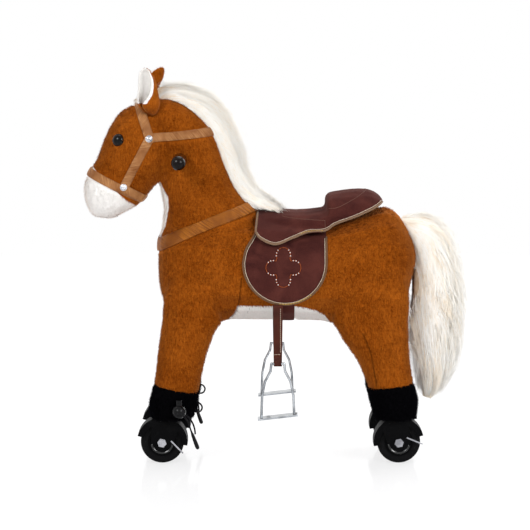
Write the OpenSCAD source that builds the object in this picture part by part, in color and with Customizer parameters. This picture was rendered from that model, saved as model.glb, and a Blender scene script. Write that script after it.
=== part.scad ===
// Plush ride-on horse on four fixed wheels, with a saddle, stirrups, a bridle and a handle bar.
// The horse faces -X and its left side is -Y. The floor is Z = 0, and the origin lies under the
// middle of the whole toy.

/* [Wheels] */
// Outer diameter of a tyre
wheel_d = 75; // [66:1:84]
// Width of a tyre
tyre_w = 26; // [20:1:32]
// Diameter of the rim that a tyre sits on
rim_d = 50; // [44:1:56]
// Width of the rim's hub, which spaces the fork arms
hub_w = 31; // [29:1:38]
// Diameter of an axle bolt
axle_d = 8; // [6:0.5:10]
// Width across the flats of an axle bolt's head
axle_head_w = 14; // [12:0.5:17]
// Distance between the front and the rear axle
wheel_base = 411; // [390:1:440]
// Distance between the middles of the left and the right wheels
track = 160; // [150:1:176]

/* [Forks] */
// Thickness of a fork arm
fork_arm_t = 4; // [3:0.5:6]
// Radius of the round end of a fork arm
fork_arm_r = 20; // [16:0.5:23]
// Half width of a fork arm where it meets the mudguard
fork_root_w = 24; // [20:0.5:28]
// Running gap between the tyre and the mudguard
guard_gap = 4; // [2:0.5:7]
// Wall of the mudguard
guard_t = 2.5; // [2:0.5:4]
// Angle that the mudguard covers on each side of the leg's line
guard_span = 86; // [70:1:92]
// Depth of the mudguard's side lip
guard_lip = 8; // [5:0.5:11]
// Outer diameter of the socket that takes a leg tube
socket_d = 34; // [30:1:38]
// Depth of that socket
socket_l = 34; // [26:1:40]
// Length of the stop spring beside each wheel
spring_l = 30; // [24:1:34]

/* [Frame] */
// Outer diameter of the leg tubes
tube_d = 22; // [18:0.5:25]
// Outer diameter of the cross tubes that join the leg tubes
cross_d = 28; // [26:0.5:32]
// Wall of every steel tube
tube_wall = 1.5; // [1:0.25:2.5]
// Outside size of the square spine tube
spine_size = 25; // [20:1:30]
// Lean of the front legs from upright
front_lean = 11; // [8:0.5:13]
// Lean of the rear legs from upright
rear_lean = 12.5; // [9:0.5:14]
// Outer diameter of the neck post
post_d = 25; // [22:1:28]
// Diameter of the handle bar
handle_d = 16; // [12:0.5:18]
// Diameter of a handle grip
grip_d = 25; // [21:0.5:28]
// Length of a handle grip
grip_l = 80; // [60:1:90]
// Diameter of the frame bolts
bolt_d = 6; // [5:0.5:7]

/* [Horse] */
// Height of the belly above the axles
leg_h = 203; // [190:1:218]
// Height of the barrel from the belly to the saddle
barrel_h = 178; // [165:1:195]
// Width of the barrel
barrel_w = 234; // [220:1:246]
// Width of the neck halfway up
neck_w = 104; // [96:1:112]
// Width of the head at the eyes
head_w = 108; // [100:1:116]
// Width of the muzzle
muzzle_w = 92; // [84:1:100]
// Width of a front leg above the cuff
front_leg_w = 80; // [72:1:86]
// Width of a rear leg above the cuff
rear_leg_w = 82; // [74:1:88]
// Width of a cuff
cuff_w = 86; // [82:1:92]
// Thickness of the mane
mane_w = 36; // [28:1:44]
// Thickness of the tail
tail_w = 80; // [60:1:92]
// Diameter of the tail's dock
dock_d = 16; // [12:0.5:18]
// Diameter of an eye
eye_d = 21; // [17:0.5:25]
// Height of an ear
ear_h = 86; // [76:1:92]
// Angle by which the right ear leans further back than the left
ear_lean = 10; // [0:1:14]

/* [Tack] */
// Width of the bridle straps
strap_w = 15; // [12:0.5:18]
// Thickness of every strap
strap_t = 2.2; // [1.6:0.1:3]
// Width of the breast strap
breast_w = 19; // [15:0.5:23]
// Diameter of a bridle rivet
rivet_d = 10; // [7:0.5:12]
// Width of a saddle flap
flap_w = 143; // [130:1:156]
// Height of a saddle flap
flap_h = 130; // [122:1:136]
// Thickness of a saddle flap
flap_t = 5; // [3:0.5:7]
// Thickness of the skirt of the saddle seat
skirt_t = 6; // [4:0.5:9]
// Width of the girth
girth_w = 34; // [26:1:44]
// Width of a stirrup leather
leather_w = 17; // [13:0.5:21]
// Length of a stirrup leather between its hinge and the stirrup
leather_l = 99; // [80:1:105]
// Diameter of the stirrup wire
wire_d = 4.5; // [3.5:0.25:5.5]
// Height of a stirrup
stirrup_h = 92; // [80:1:96]
// Length of the stirrup's tread
tread_l = 69; // [64:1:78]
// Depth of the stirrup's tread
tread_w = 25; // [18:1:30]
// Thickness of the stirrup's tread
tread_t = 3; // [2:0.5:4]
// Tilt of the stirrup's tread, with its front end down
tread_tilt = 6.5; // [0:0.5:9]

/* [Cuff drawstring] */
// Diameter of the cord lock
lock_d = 24; // [20:0.5:26]
// Diameter of the lock's button
button_d = 10; // [8:0.5:12]
// Travel of the lock's button
button_travel = 4; // [2:0.5:5]
// Diameter of the drawstring
cord_d = 3; // [2:0.25:3.5]

/* [Hidden] */
// Gap between neighbouring soft pieces, and between a piece and what it is sewn to
gap = 0.35;
// Gap between the stuffing and the steel frame inside it
frame_gap = 1;
// Radial clearance of a turning or sliding fit
run_fit = 0.08;
// Side clearance of a turning part
side_fit = 0.3;
// Sides of a soft form's section
form_sides = 16;
$fn = 48;

// Places that everything else is measured from
axle_z = wheel_d / 2;
axle_mid_x = 9.5;
front_x = axle_mid_x - wheel_base / 2;
rear_x = axle_mid_x + wheel_base / 2;
wheel_y = track / 2;
belly_z = axle_z + leg_h;
back_z = belly_z + barrel_h;
saddle_x = axle_mid_x + 7;

// Height of the cross tubes above the belly, and the frame that hangs from it
cross_rise = 84;
cross_z = belly_z + cross_rise;
spine_z = cross_z + cross_d / 2 + gap + spine_size / 2;
spine_over = cross_d / 2 + 18;
front_cross_x = front_x + (cross_z - axle_z) * tan(front_lean);
rear_cross_x = rear_x - (cross_z - axle_z) * tan(rear_lean);
post_plate_t = 4;
post_plate_edge = 10;
post_foot_z = spine_z + spine_size / 2 + post_plate_t;

// Handle bar in front of the withers
handle_x = front_x + 31;
handle_z = back_z + 106;
grip_root_y = neck_w / 2 + 1;
grip_dome = 11.5;
grip_end_wall = 4;
post_base_x = front_cross_x + head_r(bolt_d) + post_d / 2 + 4;
post_lean = atan2(post_base_x - handle_x, handle_z - post_foot_z);
post_bolts_x = [front_cross_x - cross_d / 2 - 3, post_base_x + post_d / 2 + head_r(bolt_d) + 6];
post_top = 66;
post_l = (handle_z - post_foot_z) / cos(post_lean) + post_top;

// Wheel and fork
fork_w = hub_w + 2 * side_fit + 2 * fork_arm_t;
guard_r = wheel_d / 2 + guard_gap + guard_t;
socket_floor = 5;
tube_end = guard_r + socket_floor + gap;
axle_head_t = 5;
axle_nut_t = 6;
socket_screw_d = 5;
socket_screw_up = 14;

// Bolts: head and nut sizes follow the shank
function head_r(d) = 0.9 * d;
function head_t(d) = 0.6 * d;

// Stirrups hang in the plane of the flaps
flap_y = barrel_w / 2 + gap;
hang_y = flap_y + flap_t / 2;
flap_bottom_z = back_z - 7 - flap_h;
bead_d = flap_t + 1;
hang_z = flap_bottom_z - gap - bead_d / 2;
hang_x = saddle_x - 12;
bar_x = leather_w / 2 + side_fit + wire_d / 2;
loop_wall = 2.5;
loop_d = wire_d + 2 * run_fit + 2 * loop_wall;
bar_z = hang_z - leather_l;

// Dock of the tail, measured along the rear axle's X, and the tail's room to swing
dock_z = back_z - 8;
dock_in = -4;
dock_out = 36;
tail_gap = 3.5;

// Layers over the barrel: the flap lies on it and the skirt lies on the flap
skirt_layer = 2 * gap + flap_t;
strap_top = gap + strap_t;

// Points given from the front axle or the rear axle, level with the axle, the belly or the back
function front_foot(x, z) = [front_x + x, axle_z + z];
function rear_foot(x, z) = [rear_x + x, axle_z + z];
function front_low(x, z) = [front_x + x, belly_z + z];
function rear_low(x, z) = [rear_x + x, belly_z + z];
function front_high(x, z) = [front_x + x, back_z + z];
function rear_high(x, z) = [rear_x + x, back_z + z];
function on_saddle(x, z) = [saddle_x + x, back_z + z];

// A soft form is a list of stations. Each has two points of the side view and a half width, and
// its section is a rounded oval through those points.
function torso_form() = let (w = barrel_w / 2) [
    [front_low(-8, 66), front_high(-8, -38), 0.34 * w],
    [front_low(1, 28), front_high(1, -12), 0.64 * w],
    [front_low(26, 10), front_high(26, 10), 0.84 * w],
    [front_low(76, 2), front_high(76, 16), 0.96 * w],
    [front_low(146, 0), front_high(146, 10), w],
    [rear_low(-195, 0), rear_high(-195, 0), w],
    [rear_low(-125, -2), rear_high(-125, 0), w],
    [rear_low(-65, -4), rear_high(-65, 14), 0.98 * w],
    [rear_low(-20, 2), rear_high(-20, 21), 0.9 * w],
    [rear_low(7, 16), rear_high(7, 3), 0.72 * w],
    [rear_low(20, 48), rear_high(20, -26), 0.46 * w],
    [rear_low(25, 80), rear_high(25, -54), 0.2 * w]
];

function neck_form() = let (w = neck_w / 2) [
    [front_high(-5, -70), front_high(176, 10), 1.7 * w],
    [front_high(-2, -18), front_high(152, 30), 1.5 * w],
    [front_high(4, 18), front_high(130, 56), 1.23 * w],
    [front_high(-3, 50), front_high(116, 85), 1.08 * w],
    [front_high(-9, 78), front_high(106, 110), w],
    [front_high(-16, 118), front_high(97, 138), 0.96 * w],
    [front_high(-26, 158), front_high(81, 166), 0.92 * w],
    [front_high(-34, 188), front_high(56, 191), 0.8 * w],
    [front_high(-26, 206), front_high(31, 207), 0.5 * w],
    [front_high(-8, 211), front_high(10, 212), 0.18 * w]
];

function head_form() = let (w = head_w / 2, m = muzzle_w / 2) [
    [front_high(-9, 197), front_high(11, 83), 0.74 * w],
    [front_high(-42, 202), front_high(1, 68), 0.93 * w],
    [front_high(-69, 192), front_high(-9, 62), w],
    [front_high(-87, 173), front_high(-20, 51), w],
    [front_high(-103, 142), front_high(-30, 38), 0.93 * w],
    [front_high(-115, 110), front_high(-42, 26), 1.03 * m],
    [front_high(-125, 92), front_high(-54, 18), m],
    [front_high(-137, 70), front_high(-70, 10), m],
    [front_high(-140, 46), front_high(-87, 1), 0.83 * m],
    [front_high(-134, 21), front_high(-108, 1), 0.52 * m],
    [front_high(-127, 9), front_high(-119, 3), 0.18 * m]
];

function front_leg_form() = let (w = front_leg_w / 2) [
    [front_foot(-15, 98.5), front_foot(62, 83.5), 0.95 * w],
    [front_foot(-12, 124), front_foot(74, 120), w],
    [front_low(-7, -35), front_low(88, -35), 1.05 * w],
    [front_low(-1, 6), front_low(98, 6), 1.03 * w],
    [front_low(4, 58), front_low(102, 58), 0.88 * w],
    [front_low(22, 104), front_low(88, 104), 0.5 * w]
];

function rear_leg_form() = let (w = rear_leg_w / 2) [
    [rear_foot(-52, 92), rear_foot(26, 101), 0.95 * w],
    [rear_foot(-74, 142), rear_foot(20, 142), w],
    [rear_low(-100, -24), rear_low(18, -24), 1.07 * w],
    [rear_low(-112, 8), rear_low(17, 8), 1.05 * w],
    [rear_low(-116, 58), rear_low(18, 58), 0.9 * w],
    [rear_low(-90, 104), rear_low(-4, 104), 0.5 * w]
];

function front_cuff_form() = let (w = cuff_w / 2) [
    [front_foot(-20, 42), front_foot(52, 40), 0.9 * w],
    [front_foot(-24, 56), front_foot(58, 52), 0.98 * w],
    [front_foot(-21, 76), front_foot(63, 66), w],
    [front_foot(-15, 98.5 - gap), front_foot(62, 83.5 - gap), 0.94 * w]
];

function rear_cuff_form() = let (w = cuff_w / 2) [
    [rear_foot(-43, 40), rear_foot(31, 42), 0.9 * w],
    [rear_foot(-46, 54), rear_foot(33, 58), 0.98 * w],
    [rear_foot(-51, 72), rear_foot(33, 78), w],
    [rear_foot(-52, 92 - gap), rear_foot(26, 101 - gap), 0.94 * w]
];

function mane_form() = let (w = mane_w / 2) [
    [front_high(6, 196), front_high(4, 235), 0.45 * w],
    [front_high(28, 190), front_high(44, 239), 0.8 * w],
    [front_high(54, 176), front_high(91, 221), w],
    [front_high(72, 156), front_high(115, 191), w],
    [front_high(84, 132), front_high(132, 155), w],
    [front_high(93, 106), front_high(145, 122), w],
    [front_high(103, 78), front_high(148, 94), w],
    [front_high(116, 52), front_high(158, 70), 0.94 * w],
    [front_high(130, 36), front_high(166, 52), 0.8 * w],
    [front_high(140, 30), front_high(162, 41), 0.4 * w]
];

function tail_form() = let (w = tail_w / 2) [
    [rear_high(17, -6), rear_high(34, 10), 0.3 * w],
    [rear_high(27, -18), rear_high(72, 4), 0.62 * w],
    [rear_high(31, -38), rear_high(97, -24), 0.85 * w],
    [rear_high(32, -76), rear_high(114, -72), 0.95 * w],
    [rear_high(32, -118), rear_high(120.5, -118), w],
    [rear_high(33, -178), rear_high(120, -178), w],
    [rear_high(35, -236), rear_high(116, -240), 0.92 * w],
    [rear_high(38, -268), rear_high(105, -274), 0.8 * w],
    [rear_high(44, -298), rear_high(76, -306), 0.5 * w],
    [rear_high(48, -316), rear_high(58, -318), 0.15 * w]
];

// Pad of the saddle: a low seat in front of a raised cantle
function pad_form() = let (w = barrel_w / 2) [
    [on_saddle(-46, -24), on_saddle(-46, 16), 0.5 * w],
    [on_saddle(-30, -24), on_saddle(-30, 18), 0.58 * w],
    [on_saddle(20, -24), on_saddle(20, 15), 0.64 * w],
    [on_saddle(58, -24), on_saddle(58, 18), 0.66 * w],
    [on_saddle(72, -24), on_saddle(72, 22), 0.66 * w],
    [on_saddle(79, -24), on_saddle(79, 37), 0.66 * w],
    [on_saddle(92, -24), on_saddle(92, 48), 0.64 * w],
    [on_saddle(118, -24), on_saddle(118, 52.5), 0.6 * w],
    [on_saddle(147, -20), on_saddle(147, 52), 0.5 * w],
    [on_saddle(166, -10), on_saddle(166, 42), 0.38 * w],
    [on_saddle(175, 2), on_saddle(175, 28), 0.26 * w]
];

function ear_form(grow_x) = [
    [front_high(-36 + grow_x, 178), front_high(-6 + grow_x, 178), 15],
    [front_high(-38 + grow_x, 178 + 0.32 * ear_h), front_high(-4 + grow_x, 178 + 0.32 * ear_h), 21],
    [front_high(-35 + grow_x, 178 + 0.6 * ear_h), front_high(-8 + grow_x, 178 + 0.6 * ear_h), 18],
    [front_high(-29 + grow_x, 178 + 0.84 * ear_h), front_high(-13 + grow_x, 178 + 0.84 * ear_h), 10],
    [front_high(-23 + grow_x, 178 + ear_h), front_high(-18 + grow_x, 178 + ear_h), 3]
];

// Curve through a list of numbers, points or stations
function at(list, i) = list[max(0, min(len(list) - 1, i))];
function bend(a, b, c, d, t) = 0.5 * (2 * b + (c - a) * t + (2 * a - 5 * b + 4 * c - d) * t * t
    + (3 * b - 3 * c + d - a) * t * t * t);
function curve(list, steps) = [
    for (i = [0 : len(list) - 2], s = [0 : steps - 1])
        bend(at(list, i - 1), list[i], list[i + 1], at(list, i + 2), s / steps),
    list[len(list) - 1]
];
function smooth(form, steps) = let (
    low = curve([for (s = form) s[0]], steps),
    high = curve([for (s = form) s[1]], steps),
    half = curve([for (s = form) s[2]], steps)
) [for (i = [0 : len(low) - 1]) [low[i], high[i], half[i]]];

function unit(v) = v / norm(v);
function middle(s) = (s[0] + s[1]) / 2;

// Section of a form: a rounded oval, or one whose first half drops straight down
function power(c, e) = sign(c) * pow(abs(c), e);
function section(s, y, square, sides) = [
    for (k = [0 : sides - 1]) let (
        a = 360 * k / sides,
        up = power(sin(a), 0.92),
        side = power(cos(a), square && sin(a) < 0 ? 0.12 : 0.92),
        p = middle(s) + (s[1] - s[0]) / 2 * up
    ) [p[0], y + s[2] * side, p[1]]
];

// Rings of a smooth form, each point moved out by g along the surface's normal and, at the two
// ends, along the form's own line too
function rings(form, g, y, square, sides) = let (
    flat = [for (s = form) section(s, y, square, sides)],
    n = len(form) - 1,
    side = turned(form) ? -g : g
) [
    for (i = [0 : n], k = [0 : sides - 1]) let (
        along = at(flat, i + 1)[k] - at(flat, i - 1)[k],
        round = flat[i][(k + 1) % sides] - flat[i][(k + sides - 1) % sides],
        line = i == 0 ? middle(form[0]) - middle(form[1]) : middle(form[n]) - middle(form[n - 1]),
        push = i == 0 || i == n ? unit([line[0], 0, line[1]]) * g : [0, 0, 0]
    ) flat[i][k] + unit(cross(along, round)) * side + push
];

// True where the sections run the other way round the form's line
function turned(form) = let (
    across = form[0][1] - form[0][0],
    along = middle(form[1]) - middle(form[0])
) across[0] * along[1] - across[1] * along[0] < 0;

// A smooth form, grown by g on all sides
module form(stations, g = 0, steps = 2, y = 0, square = false, sides = form_sides) {
    stops = smooth(stations, steps);
    last = (len(stops) - 1) * sides;
    walls = [
        for (i = [0 : sides : last - 1], k = [0 : sides - 1]) let (
            a = i + k,
            b = i + (k + 1) % sides
        ) each [[a, b, a + sides], [b, b + sides, a + sides]]
    ];
    ends = [for (k = [1 : sides - 2]) each [[0, k + 1, k], [last, last + k, last + k + 1]]];
    faces = concat(walls, ends);
    polyhedron(
        rings(stops, g, y, square, sides),
        turned(stops) ? [for (f = faces) [f[0], f[2], f[1]]] : faces
    );
}

module torso_shape(g = 0) form(torso_form(), g);
module neck_shape(g = 0) form(neck_form(), g);
module head_shape(g = 0) form(head_form(), g);

// Soft pieces are cut as one mesh
module sewn() resize([0, 0, 0]) children();

// Everything whose side view lies inside a flat outline
module side_cut(depth = 2 * barrel_w) {
    rotate([90, 0, 0]) linear_extrude(depth, center = true) children();
}

// A straight band of the side view between two points
module band(a, b, w) {
    d = b - a;
    translate(a) rotate(atan2(d[1], d[0])) translate([0, -w / 2]) square([norm(d), w]);
}

// A cylinder from one point to another
module rod(a, b, r) {
    d = b - a;
    translate(a) rotate([0, acos(d[2] / norm(d)), atan2(d[1], d[0])]) cylinder(r = r, h = norm(d));
}

module mirror_y(flip) {
    if (flip) mirror([0, 1, 0]) children();
    else children();
}

// The frame of a wheel: its axle at the origin, its leg tube upwards, its outer side at -Y
module at_wheel(rear, right) {
    mirror_y(right) translate([rear ? rear_x : front_x, -wheel_y, axle_z])
        rotate([0, rear ? -rear_lean : front_lean, 0]) children();
}

module at_each_wheel() {
    for (rear = [false, true], right = [false, true]) at_wheel(rear, right) children();
}

// Steel frame
function leg_line(lean) = (cross_z - axle_z) / cos(lean);

// A cross tube with a leg tube welded under each end
module leg_frame_profile(rear, wall) {
    top = leg_line(rear ? rear_lean : front_lean);
    at_wheel(rear, false) {
        for (y = [0, 2 * wheel_y]) translate([0, y, tube_end + min(wall, 0)])
            cylinder(r = tube_d / 2 + wall, h = top - tube_end - min(wall, 0));
        translate([0, wheel_y, top]) rotate([90, 0, 0])
            cylinder(r = cross_d / 2 + wall, h = track + cross_d - 2 * min(wall, 0), center = true);
    }
}

module socket_screw(rear, right, r) {
    at_wheel(rear, right) translate([0, 0, tube_end + socket_screw_up]) rotate([0, 90, 0])
        cylinder(r = r, h = socket_d, center = true);
}

module cross_bolt(rear, r) {
    low = cross_z - cross_d / 2;
    translate([rear ? rear_cross_x : front_cross_x, 0, low]) cylinder(r = r, h = post_foot_z - low);
}

module leg_frame(rear) {
    color("dimgray") difference() {
        leg_frame_profile(rear, 0);
        leg_frame_profile(rear, -tube_wall);
        cross_bolt(rear, bolt_d / 2 + gap);
        for (right = [false, true]) socket_screw(rear, right, socket_screw_d / 2 + gap);
    }
}

module front_leg_frame() leg_frame(false);
module rear_leg_frame() leg_frame(true);

module post_bolts(r) {
    for (x = post_bolts_x) translate([x, 0, spine_z - spine_size / 2])
        cylinder(r = r, h = spine_size + post_plate_t);
}

module spine_block(size, over) {
    from = front_cross_x - spine_over - over;
    to = rear_cross_x + spine_over + over;
    translate([from, -size / 2, spine_z - size / 2]) cube([to - from, size, size]);
}

module spine_tube() {
    color("dimgray") difference() {
        spine_block(spine_size, 0);
        spine_block(spine_size - 2 * tube_wall, 1);
        for (rear = [false, true]) cross_bolt(rear, bolt_d / 2 + gap);
        post_bolts(bolt_d / 2 + gap);
    }
}

module at_post() {
    translate([post_base_x, 0, post_foot_z]) rotate([0, -post_lean, 0]) children();
}

module handle_hole(r, half) {
    translate([handle_x, 0, handle_z]) rotate([90, 0, 0]) cylinder(r = r, h = 2 * half, center = true);
}

module post_plate(grow) {
    edge = post_plate_edge + grow;
    translate([post_bolts_x[0] - edge, -spine_size / 2 - grow, post_foot_z - post_plate_t])
        cube([post_bolts_x[1] - post_bolts_x[0] + 2 * edge, spine_size + 2 * grow, post_plate_t + grow]);
}

module neck_post() {
    color("dimgray") difference() {
        union() {
            post_plate(0);
            difference() {
                at_post() translate([0, 0, -post_d / 2]) cylinder(d = post_d, h = post_l + post_d / 2);
                translate([post_base_x - post_d, -post_d, post_foot_z - post_plate_t / 2 - 2 * post_d])
                    cube(2 * post_d);
            }
        }
        at_post() cylinder(d = post_d - 2 * tube_wall, h = post_l + 1);
        handle_hole(handle_d / 2 + run_fit, post_d);
        post_bolts(bolt_d / 2 + gap);
        cross_bolt(false, bolt_d / 2 + gap);
    }
}

module handle_bar() {
    color("silver") difference() {
        handle_hole(handle_d / 2, grip_root_y + grip_l - grip_end_wall - grip_dome);
        handle_hole(handle_d / 2 - tube_wall, grip_root_y + grip_l);
    }
}

// A turned grip with a domed end
module handle_grip(right) {
    straight = grip_l - grip_dome;
    mirror_y(right) translate([handle_x, -grip_root_y, handle_z]) rotate([90, 0, 0])
        color([0.2, 0.12, 0.08]) difference() {
            rotate_extrude() polygon(concat(
                [[0, 0], [grip_d / 2, 0]],
                [for (a = [0 : 15 : 90]) [grip_d / 2 - grip_dome + grip_dome * cos(a), straight + grip_dome * sin(a)]],
                [[0, grip_l]]
            ));
            translate([0, 0, -1]) cylinder(r = handle_d / 2 + run_fit, h = straight - grip_end_wall + gap + 1);
        }
}

module handle_grip_left() handle_grip(false);
module handle_grip_right() handle_grip(true);

// Screws through the sockets, and bolts with a head and a nut
module bolt_with_nut(x, top, bottom) {
    translate([x, 0, top + gap / 2]) cylinder(r = head_r(bolt_d), h = head_t(bolt_d));
    translate([x, 0, bottom - gap / 2 - head_t(bolt_d)]) {
        cylinder(r = bolt_d / 2, h = top - bottom + gap + 2 * head_t(bolt_d));
        cylinder(r = head_r(bolt_d), h = head_t(bolt_d), $fn = 6);
    }
}

module frame_bolts() {
    color("silver") {
        bolt_with_nut(front_cross_x, post_foot_z, cross_z - cross_d / 2);
        bolt_with_nut(rear_cross_x, spine_z + spine_size / 2, cross_z - cross_d / 2);
        for (x = post_bolts_x) bolt_with_nut(x, post_foot_z, spine_z - spine_size / 2);
        for (rear = [false, true], right = [false, true]) socket_screw(rear, right, socket_screw_d / 2);
    }
}

// Wheels
module tyre(rear, right) {
    shoulder = 5;
    side = tyre_w / 2 - shoulder;
    r = wheel_d / 2 - shoulder;
    color([0.09, 0.09, 0.09]) at_wheel(rear, right) rotate([90, 0, 0]) rotate_extrude() polygon(concat(
        [[rim_d / 2 + run_fit, -tyre_w / 2], [r, -tyre_w / 2]],
        [for (a = [-60 : 30 : 0]) [r + shoulder * cos(a), -side + shoulder * sin(a)]],
        [for (a = [0 : 30 : 60]) [r + shoulder * cos(a), side + shoulder * sin(a)]],
        [[r, tyre_w / 2], [rim_d / 2 + run_fit, tyre_w / 2]]
    ));
}

module rim(rear, right) {
    web = 5;
    flange = 4;
    hub_r = axle_d / 2 + 5;
    color([0.05, 0.05, 0.05]) at_wheel(rear, right) rotate([90, 0, 0]) rotate_extrude() polygon([
        [axle_d / 2 + run_fit, -hub_w / 2], [hub_r, -hub_w / 2], [hub_r, -web],
        [rim_d / 2 - flange, -web], [rim_d / 2 - flange, -tyre_w / 2], [rim_d / 2, -tyre_w / 2],
        [rim_d / 2, tyre_w / 2], [rim_d / 2 - flange, tyre_w / 2], [rim_d / 2 - flange, web],
        [hub_r, web], [hub_r, hub_w / 2], [axle_d / 2 + run_fit, hub_w / 2]
    ]);
}

module tyre_front_left() tyre(false, false);
module tyre_front_right() tyre(false, true);
module tyre_rear_left() tyre(true, false);
module tyre_rear_right() tyre(true, true);
module rim_front_left() rim(false, false);
module rim_front_right() rim(false, true);
module rim_rear_left() rim(true, false);
module rim_rear_right() rim(true, true);

module mudguard() {
    half = fork_w / 2 - 0.5;
    inner = guard_r - guard_t;
    rotate([90, 0, 0]) rotate([0, 0, 90 - guard_span]) rotate_extrude(angle = 2 * guard_span) polygon([
        [guard_r, -half], [guard_r, half], [inner - guard_lip, half], [inner - guard_lip, half - guard_t],
        [inner, half - guard_t], [inner, guard_t - half], [inner - guard_lip, guard_t - half],
        [inner - guard_lip, -half]
    ]);
}

module fork_arm_outline() {
    root_z = sqrt(pow(guard_r - guard_t / 2, 2) - pow(fork_root_w, 2));
    circle(fork_arm_r);
    polygon([[-fork_arm_r, 0], [fork_arm_r, 0], [fork_root_w, root_z], [-fork_root_w, root_z]]);
}

module fork(rear, right) {
    color([0.04, 0.04, 0.04]) at_wheel(rear, right) difference() {
        union() {
            mudguard();
            for (y = [-fork_w / 2, fork_w / 2 - fork_arm_t])
                translate([0, y + fork_arm_t, 0]) rotate([90, 0, 0]) linear_extrude(fork_arm_t) fork_arm_outline();
            translate([0, 0, guard_r - guard_t / 2]) cylinder(d = socket_d, h = guard_t / 2 + socket_l);
        }
        rotate([90, 0, 0]) cylinder(r = axle_d / 2 + run_fit, h = 2 * fork_w, center = true);
        translate([0, 0, guard_r + socket_floor]) cylinder(r = tube_d / 2 + run_fit, h = socket_l);
        translate([0, 0, tube_end + socket_screw_up]) rotate([0, 90, 0])
            cylinder(r = socket_screw_d / 2 + run_fit, h = 2 * socket_d, center = true);
    }
}

module fork_front_left() fork(false, false);
module fork_front_right() fork(false, true);
module fork_rear_left() fork(true, false);
module fork_rear_right() fork(true, true);

module axle_bolts() {
    across = axle_head_w / sqrt(3);
    color("silver") at_each_wheel() translate([0, -fork_w / 2 - gap / 2, 0]) rotate([-90, 0, 0]) {
        cylinder(r = axle_d / 2, h = fork_w + gap + axle_nut_t);
        translate([0, 0, -axle_head_t]) cylinder(r = across, h = axle_head_t, $fn = 6);
    }
}

module axle_nuts() {
    across = axle_head_w / sqrt(3);
    color("silver") at_each_wheel() translate([0, fork_w / 2 + gap / 2, 0]) rotate([-90, 0, 0]) difference() {
        cylinder(r = across, h = axle_nut_t, $fn = 6);
        translate([0, 0, -1]) cylinder(r = axle_d / 2 + run_fit, h = axle_nut_t + 2);
    }
}

// Flat steel springs behind the hubs, on the outside of the forks
module wheel_stop_springs() {
    thick = 1.2;
    high = 2.4;
    color("silver") at_each_wheel() translate([fork_arm_r - 6, -fork_w / 2 - gap / 2 - thick, 5])
        rotate([0, 35, 0]) cube([spring_l, thick, high]);
}

// Steel inside the stuffing, with room round it
module frame_room($fn = 10) {
    for (rear = [false, true]) leg_frame_profile(rear, frame_gap);
    spine_block(spine_size + 2 * frame_gap, frame_gap);
    bolt_over = head_t(bolt_d) + 2 * frame_gap;
    bolt_top = post_foot_z + bolt_over;
    for (x = concat(post_bolts_x, [front_cross_x, rear_cross_x]))
        translate([x, 0, cross_z - cross_d / 2 - bolt_over])
            cylinder(r = head_r(bolt_d) + frame_gap, h = bolt_top - cross_z + cross_d / 2 + bolt_over);
    post_plate(frame_gap);
    at_post() translate([0, 0, -post_d / 4]) cylinder(d = post_d + 2 * frame_gap, h = post_l + post_d / 4 + frame_gap);
    handle_hole(handle_d / 2 + frame_gap, grip_root_y + 1);
    for (side = [-1, 1]) translate([handle_x, side * (grip_root_y + grip_l / 2 - frame_gap), handle_z])
        rotate([90, 0, 0]) cylinder(d = grip_d + 2 * frame_gap, h = grip_l, center = true);
}

// Stuffed coat
coat = [0.58, 0.3, 0.1];
cream = [0.93, 0.86, 0.74];
leatherette = [0.5, 0.3, 0.16];
maroon = [0.24, 0.08, 0.08];

module torso() {
    color(coat) sewn() difference() {
        torso_shape();
        frame_room();
        tail_dock(dock_d / 2 + gap, dock_in - gap, $fn = 24);
    }
}

module neck() {
    color(coat) sewn() difference() {
        neck_shape();
        torso_shape(gap);
        frame_room();
    }
}

// Line of the side view where the coat turns white at the muzzle
muzzle_a = front_high(-160, 99);
muzzle_b = front_high(-28, 34);

module muzzle_half(shift) {
    d = muzzle_b - muzzle_a;
    reach = 2.4 * norm(d);
    side_cut() translate(muzzle_a) rotate(atan2(d[1], d[0])) translate([-reach / 4, shift]) square(reach);
}

module head() {
    color(coat) sewn() difference() {
        intersection() {
            head_shape();
            muzzle_half(gap / 2);
        }
        neck_shape(gap);
        torso_shape(gap);
        frame_room();
    }
}

module muzzle() {
    color("white") sewn() difference() {
        head_shape();
        muzzle_half(-gap / 2);
    }
}

module leg(rear, right) {
    color(coat) sewn() difference() {
        mirror_y(right) form(rear ? rear_leg_form() : front_leg_form(), y = -wheel_y + 2);
        torso_shape(gap);
        neck_shape(gap);
        frame_room();
    }
}

module leg_front_left() leg(false, false);
module leg_front_right() leg(false, true);
module leg_rear_left() leg(true, false);
module leg_rear_right() leg(true, true);

module cuff(rear, right) {
    color([0.03, 0.03, 0.03]) mirror_y(right) sewn() difference() {
        form(rear ? rear_cuff_form() : front_cuff_form(), y = -wheel_y + 2);
        at_wheel(rear, false) {
            rotate([90, 0, 0]) cylinder(r = guard_r + 2 * gap, h = fork_w + 2 * gap, center = true, $fn = 32);
            cylinder(d = socket_d + 2 * frame_gap, h = guard_r + socket_l + gap, $fn = 12);
            cylinder(d = tube_d + 2 * frame_gap, h = leg_h, $fn = 8);
        }
        if (!rear) {
            front_lock(2 * gap, $fn = 14);
            cord(cord_loop, cord_d + 2 * gap);
        }
    }
}

module cuff_front_left() cuff(false, false);
module cuff_front_right() cuff(false, true);
module cuff_rear_left() cuff(true, false);
module cuff_rear_right() cuff(true, true);

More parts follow.
